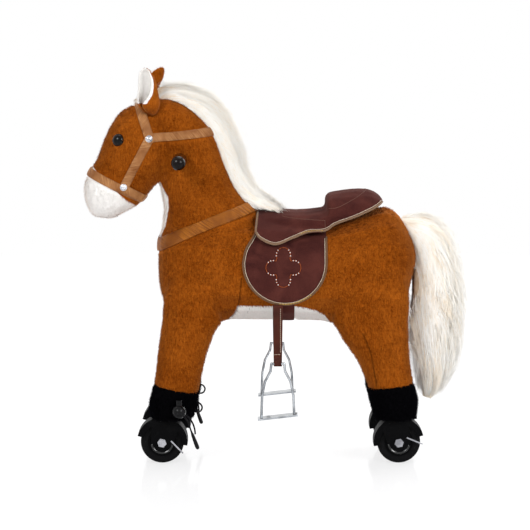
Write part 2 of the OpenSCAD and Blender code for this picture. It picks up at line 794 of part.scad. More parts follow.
// A leaf-shaped ear, hollow towards the front
module ear(right) {
    hollow = 10;
    sides = 12;
    root = front_high(-21, 178);
    color(coat) sewn() difference() {
        mirror_y(right) translate([root[0], 0, root[1]]) rotate([0, right ? ear_lean : 0, 0])
            translate([-root[0], 0, -root[1]]) difference() {
                form(ear_form(0), y = -head_w / 3, sides = sides);
                form(ear_form(-hollow), -2, y = -head_w / 3 - 3, sides = sides);
            }
        head_shape(gap);
        neck_shape(gap);
        strap_zone(browband_a, browband_b, strap_top + gap);
    }
}

module ear_left() ear(false);
module ear_right() ear(true);

module mane() {
    color(cream) sewn() difference() {
        form(mane_form(), sides = 12);
        neck_shape(gap);
        torso_shape(gap);
        strap_zone(crown_a, crown_b, strap_top + gap);
    }
}

// The tail swings on its dock, a round stub that is let into the rump
module tail_dock(r, from) {
    translate([rear_x + from, 0, dock_z]) rotate([0, 90, 0]) cylinder(r = r, h = dock_out - from);
}

module tail() {
    color(cream) {
        sewn() difference() {
            form(tail_form(), sides = 14);
            torso_shape(tail_gap);
        }
        tail_dock(dock_d / 2, dock_in);
    }
}

module eyes() {
    color("black") sewn() difference() {
        for (side = [-1, 1]) let (p = front_high(-75, 139))
            translate([p[0], side * (head_w / 2 - 5), p[1]]) sphere(d = eye_d, $fn = 16);
        head_shape(gap);
    }
}

// Bridle: straps that follow the head and the neck
ring_a = front_high(-22, 143);
ring_b = front_high(-67, 58);
browband_a = ring_a;
browband_b = front_high(-52, 232);
crown_a = ring_a + [-strap_w / 2, 0];
crown_b = front_high(125, 157);
nose_a = front_high(-149, 93.5);
nose_b = front_high(-33, 36.5);

module face_shape(g) {
    head_shape(g);
    neck_shape(g);
}

// Room that a strap takes up along its line
module strap_zone(a, b, g) {
    intersection() {
        face_shape(g);
        side_cut() band(a, b, strap_w + 2 * gap);
    }
}

// A strap of the bridle, cut away where it meets the strap it is riveted to
module bridle_strap(a, b) {
    color(leatherette) sewn() difference() {
        intersection() {
            face_shape(strap_top);
            side_cut() difference() {
                band(a, b, strap_w);
                children();
            }
        }
        face_shape(gap);
    }
}

module crown_strap() bridle_strap(crown_a, crown_b);
module browband() bridle_strap(browband_a, browband_b) band(crown_a, crown_b, strap_w + 2 * gap);

module cheek_straps() {
    bridle_strap(ring_a, ring_b) {
        band(crown_a, crown_b, strap_w + 2 * gap);
        band(browband_a, browband_b, strap_w + 2 * gap);
        band(nose_a, nose_b, strap_w + 2 * gap);
    }
}

module noseband() bridle_strap(nose_a, nose_b);

module bridle_rivets() {
    dome = 2;
    color("silver") sewn() difference() {
        intersection() {
            face_shape(strap_top + gap + dome);
            side_cut() for (p = [ring_a, ring_b]) translate(p) circle(d = rivet_d, $fn = 16);
        }
        face_shape(strap_top + gap / 2);
    }
}

breast_a = front_high(-40, -62);
breast_b = on_saddle(-55, 23);

module breast_shape(g) {
    torso_shape(g);
    neck_shape(g);
}

module breast_strap() {
    color(leatherette) sewn() difference() {
        intersection() {
            breast_shape(strap_top);
            side_cut() band(breast_a, breast_b, breast_w);
        }
        breast_shape(gap);
        form(mane_form(), gap);
    }
}

// Saddle
module flap_outline() {
    top = back_z - 7;
    r = flap_w / 2;
    translate([saddle_x, top - flap_h + r]) polygon(concat(
        [for (a = [180 : 12 : 360]) r * [cos(a), sin(a)]],
        [[r, flap_h - r], [24 - r, flap_h - r], [17 - r, 0.72 * (flap_h - r)], [10 - r, 0.56 * (flap_h - r)],
            [3.5 - r, 0.36 * (flap_h - r)], [0.8 - r, 0.17 * (flap_h - r)]]
    ));
}

module flap(right) {
    color(maroon) sewn() intersection() {
        difference() {
            form(torso_form(), gap + flap_t, square = true);
            form(torso_form(), gap, square = true);
            torso_shape(gap);
        }
        mirror_y(right) rotate([90, 0, 0]) linear_extrude(barrel_w) flap_outline();
    }
}

module saddle_flap_left() flap(false);
module saddle_flap_right() flap(true);

// Lower edge of the seat's skirt, from the pommel round to the tip of the cantle
skirt_edge = curve([
    on_saddle(-48, 20), on_saddle(-51, -2), on_saddle(-51, -18), on_saddle(-40, -29), on_saddle(-16, -36.5),
    on_saddle(12, -27), on_saddle(40, -17.5), on_saddle(69, -15), on_saddle(90, -4), on_saddle(123, 7.5),
    on_saddle(156, 21), on_saddle(174, 32)
], 2);

module seat_outline() {
    polygon(concat(skirt_edge, [on_saddle(180, 90), on_saddle(-47, 90)]));
}

module saddle_seat() {
    color(maroon) sewn() difference() {
        intersection() {
            union() {
                torso_shape(skirt_layer + skirt_t);
                form(pad_form());
            }
            side_cut() seat_outline();
        }
        torso_shape(skirt_layer);
        neck_shape(gap);
        form(mane_form(), gap);
    }
}

module girth() {
    color(maroon) sewn() difference() {
        intersection() {
            torso_shape(strap_top);
            translate([saddle_x - girth_w / 2, -barrel_w, belly_z - barrel_h])
                cube([girth_w, 2 * barrel_w, barrel_h + 42]);
        }
        torso_shape(gap);
    }
}

// A leather that hinges on the rolled hem under its flap, with a loop for the stirrup
module leather(right) {
    color([0.25, 0.12, 0.08]) mirror_y(right) translate([hang_x - leather_w / 2, -hang_y, 0]) difference() {
        union() {
            translate([0, 0, hang_z]) rotate([0, 90, 0]) cylinder(d = bead_d, h = leather_w);
            translate([0, 0, bar_z]) rotate([0, 90, 0]) cylinder(d = loop_d, h = leather_w);
            translate([0, -strap_t / 2, bar_z]) cube([leather_w, strap_t, leather_l]);
        }
        translate([-1, 0, bar_z]) rotate([0, 90, 0]) cylinder(r = wire_d / 2 + run_fit, h = leather_w + 2);
    }
}

module stirrup_leather_left() leather(false);
module stirrup_leather_right() leather(true);

// A bent wire with a flat tread. The wire's upper bar turns in the leather's loop.
function stirrup_side(s) = let (foot_x = s * 0.41 * tread_l) [
    [s * bar_x, 0, 0], [s * (bar_x + 1.5), 0, -0.14 * stirrup_h], [s * 0.32 * tread_l, 0, -0.34 * stirrup_h],
    [s * 0.39 * tread_l, 0, -0.6 * stirrup_h], [foot_x, 0, foot_x * tan(tread_tilt) - stirrup_h]
];

module stirrup(right) {
    joint_r = 1.02 * wire_d / 2;
    color("silver") mirror_y(right) translate([hang_x, -hang_y, bar_z]) {
        rod([-bar_x, 0, 0], [bar_x, 0, 0], wire_d / 2);
        for (s = [-1, 1]) let (path = stirrup_side(s)) {
            for (i = [0 : len(path) - 2]) rod(path[i], path[i + 1], wire_d / 2);
            for (i = [0 : len(path) - 2]) translate(path[i]) sphere(joint_r);
        }
        translate([0, 0, -stirrup_h]) rotate([0, -tread_tilt, 0]) cube([tread_l, tread_w, tread_t], center = true);
    }
}

module stirrup_left() stirrup(false);
module stirrup_right() stirrup(true);

// Cord lock on the outside of each front cuff: a ball with a sprung button on top
lock_at = [front_x + 31, -wheel_y + 2 - cuff_w / 2 - lock_d / 2 + 2, axle_z + 60];
button_down = 7;

module front_lock(g) translate(lock_at) sphere(r = lock_d / 2 + g);

module cord_locks() {
    color([0.05, 0.05, 0.05]) for (right = [false, true]) mirror_y(right) difference() {
        front_lock(0);
        translate(lock_at + [0, 0, lock_d / 2 - button_down - button_travel])
            cylinder(r = button_d / 2 + run_fit, h = lock_d);
    }
}

module lock_button(right) {
    rise = 4 + button_travel;
    color([0.12, 0.08, 0.06]) mirror_y(right) translate(lock_at + [0, 0, lock_d / 2 - button_down + side_fit])
        cylinder(d = button_d, h = button_down - side_fit + rise);
}

module lock_button_left() lock_button(false);
module lock_button_right() lock_button(true);

// Free stretches of the drawstring. Each list starts where the cord leaves the cuff or the lock.
cord_loop = [
    [-141, -92, 104], [-136, -93, 106.5], [-130, -94, 105], [-126.5, -95, 99], [-129, -95, 92.5],
    [-135, -94, 90.5], [-140, -93, 93]
];
cord_long = [
    [-156.5, -129.5, 88.5], [-150, -127, 79], [-146, -124, 66], [-141, -121, 52], [-136, -119, 38], [-133, -118, 30]
];
cord_short = [
    [-155.5, -125, 92], [-147, -119, 83], [-142, -116, 74], [-139, -114, 64], [-138, -113, 55]
];

// A tube with 8 sides along a list of points
module cord(route, d = cord_d) {
    sides = 8;
    n = len(route);
    rings = [
        for (i = [0 : n - 1]) let (
            along = unit(at(route, i + 1) - at(route, i - 1)),
            u = unit(cross(along, [0, 1, 0])),
            v = cross(along, u)
        ) each [for (k = [0 : sides - 1]) route[i] + d / 2 * (cos(360 * k / sides) * u + sin(360 * k / sides) * v)]
    ];
    walls = [
        for (i = [0 : n - 2], k = [0 : sides - 1]) let (
            a = i * sides + k,
            b = i * sides + (k + 1) % sides
        ) each [[a, a + sides, b], [b, a + sides, b + sides]]
    ];
    ends = [
        for (k = [1 : sides - 2]) each [
            [0, k, k + 1],
            [(n - 1) * sides, (n - 1) * sides + k + 1, (n - 1) * sides + k]
        ]
    ];
    polyhedron(rings, concat(walls, ends));
}

module cord_pair(route) {
    color("black") for (right = [false, true]) mirror_y(right) cord(route);
}

module cord_loops() cord_pair(cord_loop);
module cord_tails_long() cord_pair(cord_long);
module cord_tails_short() cord_pair(cord_short);

front_leg_frame();
rear_leg_frame();
spine_tube();
neck_post();
handle_bar();
handle_grip_left();
handle_grip_right();
frame_bolts();
tyre_front_left();
tyre_front_right();
tyre_rear_left();
tyre_rear_right();
rim_front_left();
rim_front_right();
rim_rear_left();
rim_rear_right();
fork_front_left();
fork_front_right();
fork_rear_left();
fork_rear_right();
axle_bolts();
axle_nuts();
wheel_stop_springs();
torso();
neck();
head();
muzzle();
leg_front_left();
leg_front_right();
leg_rear_left();
leg_rear_right();
cuff_front_left();
cuff_front_right();
cuff_rear_left();
cuff_rear_right();
ear_left();
ear_right();
mane();
tail();
eyes();
noseband();
cheek_straps();
browband();
crown_strap();
bridle_rivets();
breast_strap();
saddle_seat();
saddle_flap_left();
saddle_flap_right();
girth();
stirrup_leather_left();
stirrup_leather_right();
stirrup_left();
stirrup_right();
cord_locks();
lock_button_left();
lock_button_right();
cord_loops();
cord_tails_long();
cord_tails_short();
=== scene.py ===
"""Plush, fur, saddle and tack of a ride-on horse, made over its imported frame."""

import math

import bmesh
import bpy
import numpy as np
from bpy.props import FloatProperty, FloatVectorProperty, IntProperty, PointerProperty
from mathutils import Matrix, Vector
from mathutils.bvhtree import BVHTree
from mathutils.kdtree import KDTree


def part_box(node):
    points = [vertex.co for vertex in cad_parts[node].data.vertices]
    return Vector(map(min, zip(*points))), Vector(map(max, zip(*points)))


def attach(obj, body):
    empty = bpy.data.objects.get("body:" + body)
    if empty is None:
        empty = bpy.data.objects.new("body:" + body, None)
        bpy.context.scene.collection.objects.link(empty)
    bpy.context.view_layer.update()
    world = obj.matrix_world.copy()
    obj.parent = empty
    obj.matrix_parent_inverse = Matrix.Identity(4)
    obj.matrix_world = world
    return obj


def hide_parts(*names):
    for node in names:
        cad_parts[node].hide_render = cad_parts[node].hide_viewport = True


bl_info = {
    "name": "Plush Ride-On Horse",
    "version": (1, 0, 0),
    "blender": (4, 5, 0),
    "location": "View3D > Sidebar > Horse",
    "description": "Dresses the frame of a ride-on horse with plush, fur, a saddle and tack",
    "category": "Object",
}

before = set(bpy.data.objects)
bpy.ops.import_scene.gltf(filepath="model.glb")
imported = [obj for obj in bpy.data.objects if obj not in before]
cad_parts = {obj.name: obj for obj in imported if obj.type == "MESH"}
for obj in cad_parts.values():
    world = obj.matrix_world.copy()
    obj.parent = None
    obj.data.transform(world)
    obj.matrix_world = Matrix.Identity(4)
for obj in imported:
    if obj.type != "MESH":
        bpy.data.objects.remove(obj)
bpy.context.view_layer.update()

MM = 0.001
SIDES = {"left": -1, "right": 1}
CORNERS = ["front_left", "front_right", "rear_left", "rear_right"]
COAT_NODES = ["torso", "neck", "head", "muzzle"] + [f"leg_{c}" for c in CORNERS]
STEEL_INSIDE = ["front_leg_frame", "rear_leg_frame", "spine_tube", "neck_post", "handle_bar", "frame_bolts"]
TACK_NODES = [
    "noseband", "cheek_straps", "browband", "crown_strap", "breast_strap", "girth",
    "saddle_seat", "saddle_flap_left", "saddle_flap_right",
]
# The breast strap's ends in the side view, and how far its middle is drawn up
BREAST_LINE = ((-240, 0, 355), (-36, 0, 442.5))
BREAST_BOW = 7 * MM
# Where the tail is sewn on: the middle and the radius of the spot that its root rubs
TAIL_SEAT = ((226 * MM, 0, 416 * MM), 26 * MM)
# Signed distance to a panel's edge or a seam for points that are nowhere near one
SET_IN = 1.6 * MM  # depth of the coat's skin inside the solids, which leaves room for its pile
FAR = 20 * MM
# Distance from the middle plane that is outside the horse on either side
OUTSIDE = 400 * MM
WHITE = (1.0, 1.0, 1.0, 1.0)
# Name, place, size in metres and power in watts of each lamp, and what they all point at
LAMPS = [
    ("key", (-1.7, -2.6, 2.0), 1.0, 48),
    ("fill", (2.0, -2.6, 1.7), 1.2, 59),
    ("top", (0.3, 0.9, 2.6), 1.6, 26),
    ("back", (1.6, 2.2, 1.3), 1.2, 24),
]
LAMP_TARGET = Vector((0, 0, 0.33))


# Colours and shader nodes

def linear(hex_code):
    """Linear RGBA of an sRGB hex colour."""
    parts = [int(hex_code[i:i + 2], 16) / 255 for i in (1, 3, 5)]
    return [p / 12.92 if p <= 0.04045 else ((p + 0.055) / 1.055) ** 2.4 for p in parts] + [1.0]


def feed(tree, node, inputs):
    """Sets each named input of a node to a value or hex colour, or links it to a socket or node."""
    for key, value in inputs.items():
        if isinstance(value, str):
            value = linear(value)
        if isinstance(value, bpy.types.Node):
            value = value.outputs[2 if getattr(value, "data_type", "") == "RGBA" else 0]
        if isinstance(value, bpy.types.NodeSocket):
            tree.links.new(value, node.inputs[key])
        else:
            node.inputs[key].default_value = value


def put(tree, kind, inputs=None, **settings):
    """Adds a shader node with its settings and inputs."""
    made = tree.nodes.new("ShaderNode" + kind)
    for name, value in settings.items():
        setattr(made, name, value)
    feed(tree, made, inputs or {})
    return made


def start_material(name, **values):
    """A new material's tree and principled shader, with single values on the shader's own sockets."""
    material = bpy.data.materials.new(name)
    material.use_nodes = True
    shader = material.node_tree.nodes["Principled BSDF"]
    feed(material.node_tree, shader, {key.replace("_", " "): value for key, value in values.items()})
    return material, material.node_tree, shader


def per_mm(size):
    """Texture scale whose features are about this many millimetres across, on coordinates in metres."""
    return 1 / (size * MM)


# Materials. Fibres, leather pebbles, nap and moulded grain are drawn coarser than real ones, about as wide
# as a pixel of the photograph, because finer ones would not show

def sheared_plush(name, deep, high, white_deep, white_high, tint, sheen):
    """Knitted polyester plush with a sheared pile: cloudy patches where the pile was stroked, fine
    fibre grain, faint knit rows and a soft bright rim. White panels follow the skin, and so does a painted
    shade that darkens the coat along its seams."""
    material, tree, shader = start_material(
        name, Roughness=0.95, Specular_IOR_Level=0.0, Sheen_Weight=sheen, Sheen_Roughness=0.45,
        Sheen_Tint=tint)
    place = put(tree, "TexCoord").outputs["Object"]
    clouds = put(tree, "TexNoise", {"Vector": place, "Scale": per_mm(58), "Detail": 2.0})
    # Fibres combed down and a little back
    combed = put(tree, "Mapping", {
        "Vector": place, "Rotation": (0.0, 0.34, 0.0), "Scale": (per_mm(2.2), per_mm(2.2), per_mm(9))})
    grain = put(tree, "TexNoise", {"Vector": combed, "Scale": 1.0, "Detail": 2.0})
    # Knit rows lie level, and are drawn coarser than real ones so that they show
    rows = put(tree, "Mapping", {"Vector": place, "Scale": (per_mm(16.7), per_mm(16.7), per_mm(3.85))})
    knit = put(tree, "TexNoise", {"Vector": rows, "Scale": 1.0, "Detail": 2.0})
    # Each pattern, the range of it that counts, and its share in the tone
    patterns = ((clouds, 0.34, 0.68, 0.28), (grain, 0.3, 0.72, 0.4), (knit, 0.3, 0.7, 0.14))
    tone = 0.05
    for pattern, low, top, share in patterns:
        spread = put(tree, "MapRange", {0: pattern, 1: low, 2: top})
        tone = put(tree, "Math", {0: spread, 1: share, 2: tone}, operation="MULTIPLY_ADD")
    fibre = put(tree, "Attribute", attribute_name="fibre").outputs["Fac"]
    tone = put(tree, "Math", {0: tone, 1: fibre}, operation="ADD", use_clamp=True)
    coat = put(tree, "Mix", {0: tone, 6: deep, 7: high}, data_type="RGBA")
    pale = put(tree, "Mix", {0: tone, 6: white_deep, 7: white_high}, data_type="RGBA")
    white = put(tree, "Attribute", attribute_name="white").outputs["Fac"]
    panel = put(tree, "MapRange", {0: white, 1: -1 * MM, 2: 1 * MM})
    pieced = put(tree, "Mix", {0: panel, 6: coat, 7: pale}, data_type="RGBA")
    seam = put(tree, "Attribute", attribute_name="seam").outputs["Fac"]
    away = put(tree, "Math", {0: seam}, operation="ABSOLUTE")
    # Painted shade: along each seam line the colour is darkened to 0.45 of itself, fading out between 0.4 and
    # 2.2 mm from it
    seam_shade = put(tree, "MapRange", {0: away, 1: 0.4 * MM, 2: 2.2 * MM, 3: 0.45, 4: 1.0})
    seam_shaded = put(tree, "Mix", {0: 1.0, 6: pieced, 7: seam_shade}, data_type="RGBA", blend_type="MULTIPLY")
    bump = put(tree, "Bump", {"Height": grain, "Strength": 0.55, "Distance": 1.2 * MM})
    feed(tree, shader, {"Base Color": seam_shaded, "Normal": bump})
    return material


def long_fur(name, root, tip):
    """Long-pile acrylic fur: fine straight fibres, darker near the backing and nearly white at the tips."""
    material, tree, shader = start_material(
        name, Roughness=0.75, Specular_IOR_Level=0.05, Sheen_Weight=0.2, Sheen_Roughness=0.5)
    place = put(tree, "TexCoord").outputs["Object"]
    tone = put(tree, "Attribute", attribute_name="tone").outputs["Fac"]
    streak = put(tree, "TexNoise", {"Vector": place, "Scale": per_mm(14), "Detail": 2.0})
    mixed = put(tree, "Math", {0: streak, 1: 0.35, 2: tone}, operation="MULTIPLY_ADD", use_clamp=True)
    feed(tree, shader, {"Base Color": put(tree, "Mix", {0: mixed, 6: root, 7: tip}, data_type="RGBA")})
    return material


def leatherette(name, deep, high, creased):
    """Embossed PU leatherette: a pebbled grain, cross creases where the strap bends, and a satin shine.
    The crease ridges are lightened by a painted highlight.
    """
    material, tree, shader = start_material(name, Specular_IOR_Level=0.14)
    place = put(tree, "TexCoord").outputs["Object"]
    along = put(tree, "Attribute", attribute_name="along").outputs["Fac"]
    across = put(tree, "Attribute", attribute_name="across").outputs["Fac"]
    slant = put(tree, "Math", {0: across, 1: 0.7, 2: along}, operation="MULTIPLY_ADD")
    strip = put(tree, "CombineXYZ", {0: slant, 1: across})
    # Slanting creases right across a strap, and only in places
    stretched = put(tree, "Mapping", {"Vector": strip, "Scale": (per_mm(2.8), per_mm(38), 1.0)})
    crease = put(tree, "TexNoise", {"Vector": stretched, "Scale": 1.0, "Detail": 1.5})
    ridge = put(tree, "MapRange", {0: crease, 1: 0.4, 2: 0.64})
    where = put(tree, "TexNoise", {"Vector": place, "Scale": per_mm(40)})
    few = put(tree, "MapRange", {0: where, 1: 0.42, 2: 0.58})
    folds = put(tree, "Math", {0: ridge, 1: few}, operation="MULTIPLY")
    pebble = put(tree, "TexVoronoi", {"Vector": place, "Scale": per_mm(1.6)})
    cloud = put(tree, "TexNoise", {"Vector": place, "Scale": per_mm(26), "Detail": 4.0})
    # Painted highlight: the colour is lighter on the crease ridges, as if they caught the light; the cloud
    # under it is the leather's own uneven tone
    lit = put(tree, "Math", {0: folds, 1: creased, 2: cloud}, operation="MULTIPLY_ADD")
    tone = put(tree, "MapRange", {0: lit, 1: 0.22, 2: 1.0})
    coarse = put(tree, "Bump", {"Height": folds, "Strength": 0.5, "Distance": 1.6 * MM})
    fine = put(tree, "Bump", {"Height": pebble, "Strength": 0.3, "Distance": 0.3 * MM, "Normal": coarse})
    feed(tree, shader, {
        "Base Color": put(tree, "Mix", {0: tone, 6: deep, 7: high}, data_type="RGBA"),
        "Roughness": put(tree, "MapRange", {0: pebble, 3: 0.42, 4: 0.6}),
        "Normal": fine,
    })
    return material


def brushed_suede(name, deep, high, tint):
    """Microfibre suede with a short brushed nap: lighter and darker strokes and a dusty sheen."""
    material, tree, shader = start_material(
        name, Roughness=0.92, Specular_IOR_Level=0.06, Sheen_Weight=0.12, Sheen_Roughness=0.4,
        Sheen_Tint=tint)
    place = put(tree, "TexCoord").outputs["Object"]
    strokes = put(tree, "TexNoise", {"Vector": place, "Scale": per_mm(36), "Detail": 3.0, "Distortion": 0.8})
    nap = put(tree, "TexNoise", {"Vector": place, "Scale": per_mm(1.6), "Detail": 2.0})
    part = put(tree, "Math", {0: nap, 1: 0.4, 2: strokes}, operation="MULTIPLY_ADD")
    tone = put(tree, "MapRange", {0: part, 1: 0.42, 2: 1.02})
    feed(tree, shader, {
        "Base Color": put(tree, "Mix", {0: tone, 6: deep, 7: high}, data_type="RGBA"),
        "Normal": put(tree, "Bump", {"Height": nap, "Strength": 0.35, "Distance": 0.5 * MM}),
    })
    return material


def woven_tape(name, deep, high):
    """Woven polyester binding or thread: a slanted twill that shows as fine light and dark ticks."""
    material, tree, shader = start_material(name, Roughness=0.8, Specular_IOR_Level=0.1, Sheen_Weight=0.05)
    along = put(tree, "Attribute", attribute_name="along").outputs["Fac"]
    across = put(tree, "Attribute", attribute_name="across").outputs["Fac"]
    slant = put(tree, "Math", {0: along, 1: across}, operation="ADD")
    # A tick every 2.4 mm, coarser than real twill, which would be lost within a pixel
    turns = put(tree, "Math", {0: slant, 1: 2 * math.pi * per_mm(2.4)}, operation="MULTIPLY")
    twill = put(tree, "Math", {0: turns}, operation="SINE")
    tone = put(tree, "MapRange", {0: twill, 1: -1.0, 2: 1.0})
    feed(tree, shader, {
        "Base Color": put(tree, "Mix", {0: tone, 6: deep, 7: high}, data_type="RGBA"),
        "Normal": put(tree, "Bump", {"Height": tone, "Strength": 0.5, "Distance": 0.5 * MM}),
    })
    return material


def moulded(name, base, worn, roughness, grain_mm, bump, gloss=0.16):
    """Moulded plastic or rubber: nearly even colour, a fine skin texture, and scuffs a little lighter."""
    material, tree, shader = start_material(name, Specular_IOR_Level=gloss)
    place = put(tree, "TexCoord").outputs["Object"]
    scuff = put(tree, "TexNoise", {"Vector": place, "Scale": per_mm(11), "Detail": 6.0})
    grain = put(tree, "TexNoise", {"Vector": place, "Scale": per_mm(grain_mm), "Detail": 2.0})
    some = put(tree, "MapRange", {0: scuff, 1: 0.5, 2: 0.78})
    feed(tree, shader, {
        "Base Color": put(tree, "Mix", {0: some, 6: base, 7: worn}, data_type="RGBA"),
        "Roughness": put(tree, "MapRange", {0: scuff, 1: 0.3, 2: 0.75, 3: roughness, 4: roughness + 0.14}),
        "Normal": put(tree, "Bump", {"Height": grain, "Strength": bump, "Distance": 0.25 * MM}),
    })
    return material


def plated_steel(name, deep, high, roughness):
    """Steel with a bright plating: mirror-like, with spots a little darker and duller."""
    material, tree, shader = start_material(name, Metallic=1.0)
    place = put(tree, "TexCoord").outputs["Object"]
    spots = put(tree, "TexNoise", {"Vector": place, "Scale": per_mm(16), "Detail": 2.0})
    tone = put(tree, "MapRange", {0: spots, 1: 0.35, 2: 0.7})
    feed(tree, shader, {
        "Base Color": put(tree, "Mix", {0: tone, 6: deep, 7: high}, data_type="RGBA"),
        "Roughness": put(tree, "MapRange", {0: spots, 1: 0.3, 2: 0.75, 3: roughness, 4: roughness + 0.06}),
    })
    return material


def acrylic_eye(name, pupil, iris):
    """A cast acrylic toy eye: black in the middle, a hint of brown at the rim, under a clear glossy skin."""
    material, tree, shader = start_material(name, Roughness=0.05, Specular_IOR_Level=0.16)
    from_middle = put(tree, "Attribute", attribute_name="across").outputs["Fac"]
    rim = put(tree, "MapRange", {0: from_middle, 1: 6.2 * MM, 2: 9.8 * MM})
    feed(tree, shader, {"Base Color": put(tree, "Mix", {0: rim, 6: pupil, 7: iris}, data_type="RGBA")})
    return material


# Meshes

def set_attribute(mesh, name, values):
    """Stores one number for each vertex."""
    layer = mesh.attributes.new(name, "FLOAT", "POINT")
    layer.data.foreach_set("value", np.ascontiguousarray(values, np.float32))


def vectors(items, key):
    """One vector of each item of a mesh as an array."""
    found = np.empty(len(items) * 3, np.float32)
    items.foreach_get(key, found)
    return found.reshape(-1, 3).astype(float)


def points_of(mesh):
    """Vertices of a mesh as an array."""
    return vectors(mesh.vertices, "co")


def normals_of(mesh):
    """Vertex normals of a mesh as an array."""
    return vectors(mesh.vertex_normals, "vector")


def unit(rows, least=1e-9):
    """Rows of vectors, each brought to length 1 unless it is shorter than the least length."""
    return rows / np.maximum(np.linalg.norm(rows, axis=-1, keepdims=True), least)


def link_piece(name, mesh, material, body="horse", slot=None, replaces=()):
    """Puts a mesh into the scene as a piece that moves with a body."""
    piece = bpy.data.objects.new(name, mesh)
    bpy.context.scene.collection.objects.link(piece)
    mesh.materials.clear()
    mesh.materials.append(material)
    mesh.shade_smooth()
    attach(piece, body)
    if replaces:
        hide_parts(*replaces)
    return piece


def mesh_from(name, points, faces, **attributes):
    """A mesh from points and faces, with named numbers for each vertex."""
    mesh = bpy.data.meshes.new(name)
    mesh.from_pydata([tuple(p) for p in points], [], [tuple(f) for f in faces])
    mesh.update()
    for key, values in attributes.items():
        set_attribute(mesh, key, values)
    return mesh


def joined(parts):
    """Points, faces and attribute dict of several such parts as one."""
    points, faces, attributes, start = [], [], {}, 0
    for part_points, part_faces, part_attributes in parts:
        points.append(np.asarray(part_points, float))
        faces += [[start + i for i in face] for face in part_faces]
        for key, values in part_attributes.items():
            attributes.setdefault(key, []).append(np.asarray(values, float))
        start += len(part_points)
    return np.concatenate(points), faces, {key: np.concatenate(v) for key, v in attributes.items()}


def link_parts(name, parts, material, **more):
    """Joins parts of points, faces and attributes, and puts them into the scene as one piece."""
    points, faces, attributes = joined(parts)
    return link_piece(name, mesh_from(name, points, faces, **attributes), material, **more)


def move_points(mesh, points):
    """Gives the vertices of a mesh new places."""
    mesh.vertices.foreach_set("co", points.astype(np.float32).ravel())
    mesh.update()


def ring_faces(rows, sides, closed=False):
    """Quads between rings of points that follow each other, and from the last to the first if closed."""
    faces = []
    for i in range(rows if closed else rows - 1):
        a, b = i * sides, (i + 1) % rows * sides
        faces += [[a + k, a + (k + 1) % sides, b + (k + 1) % sides, b + k] for k in range(sides)]
    return faces


def end_faces(rows, sides):
    """The faces that close the first and the last of such rings."""
    return [list(range(sides))[::-1], [(rows - 1) * sides + k for k in range(sides)]]


def hill(distance, spread):
    """A soft hill: 1 at no distance, falling off over a spread."""
    return np.exp(-(distance / spread) ** 2)


def tree_of(*meshes):
    """A search tree over the faces of meshes."""
    points, faces = [], []
    for mesh in meshes:
        start = len(points)
        points += [v.co.copy() for v in mesh.vertices]
        faces += [[start + i for i in p.vertices] for p in mesh.polygons]
    return BVHTree.FromPolygons(points, faces)


def node_meshes(names):
    """Meshes of CAD nodes."""
    return [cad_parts[n].data for n in names]


def relaxed(mesh, rounds):
    """Smooths a mesh without shrinking it, by small steps in and out."""
    points = points_of(mesh)
    edges = np.empty(len(mesh.edges) * 2, np.int32)
    mesh.edges.foreach_get("vertices", edges)
    a, b = edges.reshape(-1, 2).T
    count = np.maximum(np.bincount(a, minlength=len(points)) + np.bincount(b, minlength=len(points)), 1)
    for step in [0.5, -0.52] * rounds:
        mean = np.stack([
            np.bincount(a, points[b, k], len(points)) + np.bincount(b, points[a, k], len(points))
            for k in range(3)
        ], 1) / count[:, None]
        points += step * (mean - points)
    move_points(mesh, points)


def remeshed(name, source, voxel, rounds):
    """A fresh even skin over a mesh, its largest shell only, smoothed."""
    holder = bpy.data.objects.new(name, source)
    bpy.context.scene.collection.objects.link(holder)
    change = holder.modifiers.new("skin", "REMESH")
    change.mode = "VOXEL"
    change.voxel_size = voxel
    graph = bpy.context.evaluated_depsgraph_get()
    mesh = bpy.data.meshes.new_from_object(holder.evaluated_get(graph))
    bpy.data.objects.remove(holder)
    shell = bmesh.new()
    shell.from_mesh(mesh)
    left, best = set(shell.verts), []
    while left:
        island = {next(iter(left))}
        edge = list(island)
        while edge:
            vert = edge.pop()
            for link in vert.link_edges:
                other = link.other_vert(vert)
                if other not in island:
                    island.add(other)
                    edge.append(other)
        left -= island
        best = island if len(island) > len(best) else best
    bmesh.ops.delete(shell, geom=[v for v in shell.verts if v not in best], context="VERTS")
    shell.to_mesh(mesh)
    shell.free()
    relaxed(mesh, rounds)
    return mesh


def solid_without_bores(names, inside):
    """The named CAD solids as one mesh, with the rooms for the steel inside them closed."""
    steel = tree_of(*node_meshes(inside))
    # The walls of those rooms lie at most this far from the steel
    near = 2.2 * MM
    whole = bmesh.new()
    for name in names:
        part = bmesh.new()
        part.from_mesh(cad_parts[name].data)
        bmesh.ops.remove_doubles(part, verts=part.verts, dist=1e-6)
        room = [v for v in part.verts if steel.find_nearest(v.co, near)[0]]
        bmesh.ops.delete(part, geom=room, context="VERTS")
        bmesh.ops.holes_fill(part, edges=part.edges[:], sides=0)
        bmesh.ops.triangulate(part, faces=part.faces[:])
        bmesh.ops.recalc_face_normals(part, faces=part.faces[:])
        closed = bpy.data.meshes.new(name)
        part.to_mesh(closed)
        part.free()
        whole.from_mesh(closed)
    mesh = bpy.data.meshes.new("solid")
    whole.to_mesh(mesh)
    whole.free()
    return mesh


def curve_points(points, steps):
    """A smooth line through points."""
    points = [np.asarray(p, float) for p in points]
    made = []
    for i in range(len(points) - 1):
        a, b, c, d = (points[min(max(i + k, 0), len(points) - 1)] for k in (-1, 0, 1, 2))
        for t in np.arange(steps) / steps:
            made.append(0.5 * (2 * b + (c - a) * t + (2 * a - 5 * b + 4 * c - d) * t * t
                               + (3 * b - 3 * c + d - a) * t ** 3))
    return np.array(made + [points[-1]])


